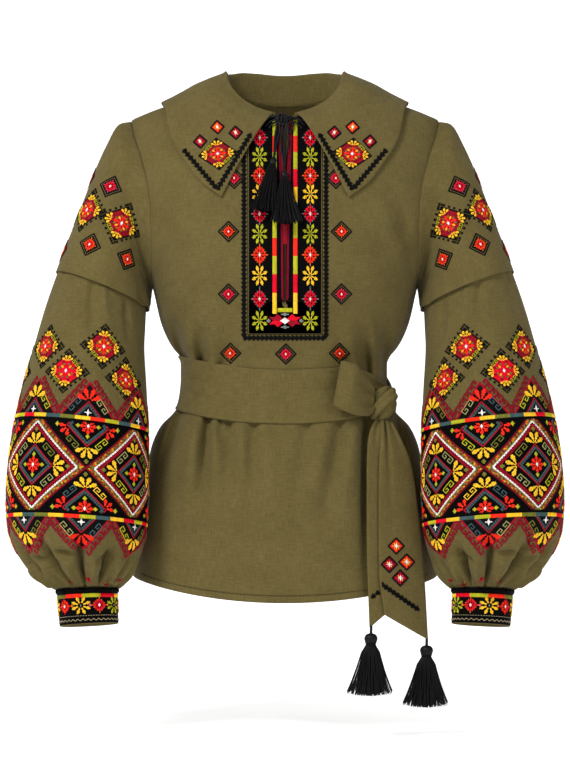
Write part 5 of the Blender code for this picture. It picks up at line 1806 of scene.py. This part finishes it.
SleeveMotif = namedtuple("SleeveMotif", "turn height half kind")
CAP_MOTIFS = table(SleeveMotif, [
    (39, -125, 28, ornate_square), (90, -75, 28, ornate_square), (-13, -138, 28, ornate_square),
    (-64, -118, 28, ornate_square), (-113, -72, 28, ornate_square),
    (60, -66.5, 15.5, small_square), (63, -160, 15.5, small_square),
    (111, -115, 15.5, small_square), (8, -92, 15.5, small_square), (13, -183, 15.5, small_square),
    (-38, -178, 15.5, small_square), (-38, -82, 15.5, small_square),
    (-88, -150, 15.5, small_square), (-86, -62, 15.5, small_square),
    (-136, -110, 15.5, small_square),
])
BISHOP_MOTIFS = [SleeveMotif(turn, height, 27.0, ornate_square) for turn, height in
                 ((45, -305), (109, -306), (76, -338), (136, -342), (-18, -305), (-80, -306),
                  (-140, -310), (3, -338), (-49, -338), (-110, -342))]


def scattered(on, motifs):
    """Single motifs, each pressed onto a tube at its own place."""
    cloth = Cloth(np.concatenate([on.grid, on.grid[:, :1]], axis=1))
    parts = []
    for number, motif in enumerate(motifs):
        stitches = []
        colour = CRIMSON if number % 3 == 2 else RED
        motif.kind(Needle(stitches), motif.half, colour)
        parts.append(sewn(stitches, cloth.pressed(*on_tube(on, motif.turn, motif.height))))
    return parts


GROUND_WALL, GROUND_LIFT = 0.3, 0.4


def ground_piece(name, place, low, high, rows, columns, girth, side):
    """A filled black ground round a tube, just over its cloth."""
    x = np.tile(np.linspace(0, girth, columns, endpoint=False), rows)
    y = np.repeat(np.linspace(high, low, rows), columns)
    points, normals = place(np.stack([x, y], -1))
    grid = (points / MM + normals * GROUND_LIFT).reshape(rows, columns, 3)
    return sleeve_piece(name, grid, side, GROUND_WALL, finish=BLACK_GROUND, slot="embroidery")


BISHOP, CAP, CUFF = (Tube(grid, tube_normals(grid)) for grid in (BISHOP_GRID, CAP_GRID, CUFF_GRID))
band_tube = round_tube(BISHOP, SLEEVE_ROUND)
band_parts = [sewn(sleeve_band(), band_lie)]
peak_parts = [sewn(sleeve_peaks(), band_lie)]
square_parts = scattered(BISHOP, BISHOP_MOTIFS)
cap_parts = scattered(CAP, CAP_MOTIFS)
for side_name, side in SIDES:
    ground_piece(f"band_ground_{side_name}", band_lie, BAND_MIDDLE - BAND_HALF,
                 BAND_MIDDLE + BAND_HALF, 30, 84, SLEEVE_ROUND, side)
    for name, parts in (("band", band_parts), ("peaks", peak_parts), ("squares", square_parts),
                        ("cap", cap_parts)):
        embroidery_piece(f"{name}_embroidery_{side_name}", worn_on(side, parts))


# ---------------------------------------------------------------------------------------------
# Cuffs' embroidery. Each cuff is covered in black, with a ruffled upper edge, a bright satin
# strip, a row of ten flowers, and two fine lines of undyed thread above its lower edge.

CUFF_ROUND, CUFF_FLOWERS, CUFF_STITCHES = 226.0, 10, 70
CUFF_TOP, CUFF_BOTTOM = -597.6, -641.4
RUFFLE_WALL, RUFFLE_HEIGHT = 0.5, 6.5
CUFF_STRIP, CUFF_ROW, CUFF_DASHES, CUFF_NOTCHES = -607.5, -619.6, -632.2, -637.2
UNDYED = dyed(176, 160, 124)
CUFF_COLOURS = [OLIVE, RED, LIME, CRIMSON, YELLOW]


def cuff_embroidery():
    stitches = []
    needle = Needle(stitches)
    length = CUFF_ROUND / CUFF_FLOWERS / 2
    for k in range(2 * CUFF_FLOWERS):
        x = (k + 0.6) * length
        colour = CUFF_COLOURS[k // 2 % len(CUFF_COLOURS)]
        needle.satin([(x, CUFF_STRIP), (x + length, CUFF_STRIP)], [colour], 4.8, 1)
    for k in range(CUFF_FLOWERS):
        middle = needle.at((k + 1.22) * 2 * length, CUFF_ROW)
        if k % 2:
            daisy(middle.at(0, 0, wide=1.12), 10.8, YELLOW if k % 4 == 1 else LIME)
        else:
            blossom(middle, 7.8, CRIMSON if k % 4 else RED, tips=ORANGE if k % 4 else CRIMSON)
        middle.fill(diamond(1.7, 1.7, length), PINK if k % 2 else ORANGE, layer=2)
    step = CUFF_ROUND / CUFF_STITCHES
    for k in range(CUFF_STITCHES):
        x = CUFF_ROUND * k / CUFF_STITCHES
        needle.stitch((x, CUFF_DASHES), (x + step * 0.6, CUFF_DASHES), UNDYED, 1, 0.7)
        rise = 1.2 if k % 2 else -1.2
        needle.stitch((x, CUFF_NOTCHES - rise), (x + step, CUFF_NOTCHES + rise), UNDYED, 1, 0.8)
    return stitches


def ruffle_grid(place):
    """The black ribbon at the cuff's upper edge, fluted by the gathers it holds."""
    rows, columns = 7, 140
    share = np.linspace(0, 1, rows)[:, None]
    turn = np.arange(columns)[None, :]
    x = np.tile(np.linspace(0, CUFF_ROUND, columns, endpoint=False), rows)
    y = np.repeat(np.linspace(CUFF_TOP, CUFF_TOP - RUFFLE_HEIGHT, rows), columns)
    points, normals = place(np.stack([x, y], -1))
    flutes = np.sin(turn * 2 * pi / 5 + np.sin(turn))
    out = 0.9 + 1.2 * np.sin(pi * share) + 0.9 * (1 - share) * flutes
    return (points / MM + normals * out.reshape(-1, 1)).reshape(rows, columns, 3)


def gathered_bits():
    """What shows of small motifs worked just above the cuff, drawn in with the gathers."""
    stitches = []
    for k in range(12):
        needle = Needle(stitches, turn_place(30 * k + 8), -590.5 + 2.2 * sin(2.7 * k))
        needle.fill(diamond(8, 2.8, 1.4 * sin(5 * k)), MAROON if k % 3 else DEEP, angle=90, layer=0)
        colour = (MAROON, OLIVE, DEEP)[k % 3]
        needle.fill(diamond(2.2, 1.4, 3 * sin(3 * k), 1), colour, angle=90, layer=1)
    return stitches


cuff_place = round_tube(CUFF, CUFF_ROUND)
cuff_parts = [sewn(cuff_embroidery(), cuff_place), sewn(gathered_bits(), band_tube)]
for side_name, side in SIDES:
    ground_piece(f"cuff_ground_{side_name}", cuff_place, CUFF_BOTTOM, CUFF_TOP, 12, 72,
                 CUFF_ROUND, side)
    sleeve_piece(f"cuff_ruffle_{side_name}", ruffle_grid(cuff_place), side, RUFFLE_WALL,
                 finish=BLACK_GROUND, slot="embroidery")
    embroidery_piece(f"cuff_embroidery_{side_name}", worn_on(side, cuff_parts))


# ---------------------------------------------------------------------------------------------
# Front embroidery. Down the slit lies a black panel with a row of flowers and a bright strip at
# each side, framed by a chain border; small squares stand on the linen round it.

PANEL_HALF, PANEL_FOOT = 45.0, -283.8
BORDER_X, BORDER_FOOT, BORDER_TOP = 51.3, -289.4, -46.0
FINE_LINE, FINE_LINE_DROP = 1.6, 1.4     # how far outside the panel its fine black line runs
FOOT_FLOWER_Z = -267.8
FLOWER_X, BRIGHT_X, BRIGHT_WIDTH, CRIMSON_X = 31.6, 13.0, 5.4, 1.3
PanelFlower = namedtuple("PanelFlower", "z kind colour")
PANEL_FLOWERS = table(PanelFlower, [
    (-39.5, blossom, CRIMSON), (-63.5, daisy, LIME), (-87, blossom, RED), (-110, daisy, YELLOW),
    (-134.5, blossom, CRIMSON), (-159.5, daisy, LIME), (-185.5, blossom, RED),
    (-211.5, daisy, YELLOW), (-240.5, blossom, CRIMSON), (-267.8, daisy, LIME),
])
BrightStretch = namedtuple("BrightStretch", "foot colour")
BRIGHT_STRETCHES = table(BrightStretch, [
    (-37, LIME), (-57, RED), (-78.5, LIME), (-101, CRIMSON), (-120, YELLOW), (-142, TEAL),
    (-164.5, LIME), (-187, RED), (-209.5, LIME), (-233, CRIMSON), (-259, YELLOW),
])
STRIP_TOP = -17.0
NECK_NEARER = 0.9835         # the neck's distance from the lens, as a share of the side seams'


def panel_ground(side_name, side):
    """One half of the panel's black ground, from the slit's edge outwards."""
    rows, columns = 70, 15
    share = np.linspace(0, 1, columns)[None, :]
    drop = np.linspace(0, 1, rows)[:, None]
    outer = PANEL_HALF * np.ones_like(drop)
    z = STRIP_TOP + (PANEL_FOOT - STRIP_TOP) * drop + 0 * share
    inner = np.where(z > SLIT_END_Z + 3, slit_half_width(z) + 0.15, 0.0)
    x = inner + (outer - inner) * share
    neckline = CAMERA_HEIGHT / MM + (top_height(x, True) - 1.0 - CAMERA_HEIGHT / MM) / NECK_NEARER
    z = z + (1 - drop) * (neckline - STRIP_TOP)
    points, normals = FRONT_CLOTH.seen(np.stack([side * x, z], -1).reshape(-1, 2))
    grid = (points / MM + normals * GROUND_LIFT).reshape(rows, columns, 3)
    return grid_piece(f"panel_ground_{side_name}", grid, GROUND_WALL, flip=side < 0,
                      finish=BLACK_GROUND, slot="embroidery")


def panel_embroidery():
    stitches = []
    for side in (-1, 1):
        half = Needle(stitches)
        for flower in PANEL_FLOWERS:
            middle = half.at(side * FLOWER_X, flower.z, tall=1.3)
            if flower.kind is daisy:
                daisy(middle, 9.9, flower.colour)
            else:
                blossom(middle, 8.2, flower.colour, tips=ORANGE if flower.colour is RED else GREY)
        for first, second in zip(PANEL_FLOWERS, PANEL_FLOWERS[1:]):
            gap = (first.z + second.z) / 2
            half.fill(diamond(0.9, 1.7, side * FLOWER_X, gap), TEAL, layer=1)
        top = STRIP_TOP
        for stretch in BRIGHT_STRETCHES:
            half.satin([(side * BRIGHT_X, top), (side * BRIGHT_X, stretch.foot)], [stretch.colour],
                       BRIGHT_WIDTH, 1)
            top = stretch.foot
        for out, width, colour in ((0, 1.7, DEEP), (1.8, 1.5, MAROON), (3.2, 1.1, PURPLE)):
            x = side * (CRIMSON_X + out)
            half.satin([(x + side * 4.4, STRIP_TOP), (x + side * 1.2, -100), (x, -160),
                        (x - side * 0.6, -246.0 + 2 * out)], [colour], width, 1, 1.5)
        x = side * (PANEL_HALF + FINE_LINE)
        half.line([(x, BORDER_TOP), (x, PANEL_FOOT - FINE_LINE_DROP)], BLACK, 0.9, 0)
        chain(half, [(side * BORDER_X, BORDER_TOP), (side * BORDER_X, BORDER_FOOT)], 3.7, 2.7)
    bottom = Needle(stitches)
    bottom.satin([(-9.3, -254.6), (9.3, -254.6)], [LIME], 5.2, 1)
    bottom.line([(-PANEL_HALF - FINE_LINE, PANEL_FOOT - FINE_LINE_DROP),
                 (PANEL_HALF + FINE_LINE, PANEL_FOOT - FINE_LINE_DROP)], BLACK, 0.9, 0)
    chain(bottom, [(-BORDER_X, BORDER_FOOT), (BORDER_X, BORDER_FOOT)], 3.7, 2.7)
    for x in (-1, 1):
        for y in (-1, 1):
            leaf = [(0, 0), (x * 9.0, y * 8.2), (x * 13.0, y * 4.6), (x * 19.5, y * 4.6),
                    (x * 15.0, 0)]
            colour = CRIMSON if x * y > 0 else DEEP
            bottom.at(0, FOOT_FLOWER_Z).fill(leaf, colour, angle=90, layer=1)
        bottom.fill(diamond(3.2, 2.4, x * 20.5, FOOT_FLOWER_Z), GREY, layer=2)
        bottom.fill(diamond(5.0, 1.8, 0, FOOT_FLOWER_Z + x * 8.0), GREY, layer=2)
    bottom.fill(diamond(5.8, 4.0, 0, FOOT_FLOWER_Z), WHITE, layer=3, pitch=FINE_PITCH)
    return stitches


Square = namedtuple("Square", "x z colour")
FRONT_SQUARES = table(Square, [
    (70.5, -156.5, RED), (70.5, -234.5, CRIMSON), (68.0, -308.5, RED), (63.5, -90.0, CRIMSON),
])
SQUARE_HALF = 13.6
FRONT_HALF = front_grid.shape[1] // 2
FRONT_CLOTH = Cloth(front_grid[:, :FRONT_HALF], front_grid[:, FRONT_HALF:])
for side_name, side in SIDES:
    panel_ground(side_name, side)
front_stitches = panel_embroidery()
for square in FRONT_SQUARES:
    for side in (-1, 1):
        small_square(Needle(front_stitches, side * square.x, square.z), SQUARE_HALF, square.colour)
small_square(Needle(front_stitches, 1.0, -309.5), SQUARE_HALF, CRIMSON)
hem = front_grid[-3, 3:-3:3]
nearer = 1 + hem[:, 1] * MM / CAMERA_DISTANCE
hem_heights = (hem[:, 2] - CAMERA_HEIGHT / MM) / nearer + CAMERA_HEIGHT / MM
Needle(front_stitches).line(list(zip(hem[:, 0] / nearer, hem_heights)), SHADOW, 0.45, 1)
embroidery_piece("front_embroidery", [sewn(front_stitches, FRONT_CLOTH.seen)])


# ---------------------------------------------------------------------------------------------
# Collar and sash embroidery. Each corner of the collar carries an ornate square with three small
# ones above it, inside a chain border; the sash's ends have a few small squares and a chain.

COLLAR_CHAIN = [(-126.5, -54.5), (-84.6, -103.5), (-42.2, -33.5)]
COLLAR_SQUARES = table(Square, [(-84.5, -26.0, RED), (-61.6, -33.0, CRIMSON),
                                (-106.0, -44.0, CRIMSON)])

COLLAR_CLOTH_GRID = Cloth(COLLAR_GRID)
collar_stitches = []
for side in (-1, 1):
    wing = Needle(collar_stitches, across=(-side, 0.0))
    chain(wing, COLLAR_CHAIN, 3.9, 2.9)
    ornate_square(wing.at(-84, -59.5, turn=6, wide=1.14, tall=0.94), 21.6, RED, toothed=False)
    for square in COLLAR_SQUARES:
        bright_square(wing.at(square.x, square.z, turn=4), 8.2, square.colour)
embroidery_piece("collar_embroidery", [sewn(collar_stitches, COLLAR_CLOTH_GRID.seen)])

TAIL_SQUARES = table(Square, [(139.0, -549.5, RED), (130.3, -572.5, CRIMSON),
                              (152.0, -569.5, RED), (144.0, -589.5, CRIMSON)])
tail_stitches = []
for square in TAIL_SQUARES:
    bright_square(Needle(tail_stitches, square.x, square.z), 9.8, square.colour)
chain(Needle(tail_stitches), [(120.3, -597.0), (168.0, -630.0)], 3.6, 3.0)
chain(Needle(tail_stitches), [(117.8, -606.5), (106.8, -615.0)], 3.4, 2.8)
TAIL_CLOTH = Cloth(TAIL_GRIDS["left"], TAIL_GRIDS["right"])
embroidery_piece("sash_embroidery", [sewn(tail_stitches, TAIL_CLOTH.seen)])
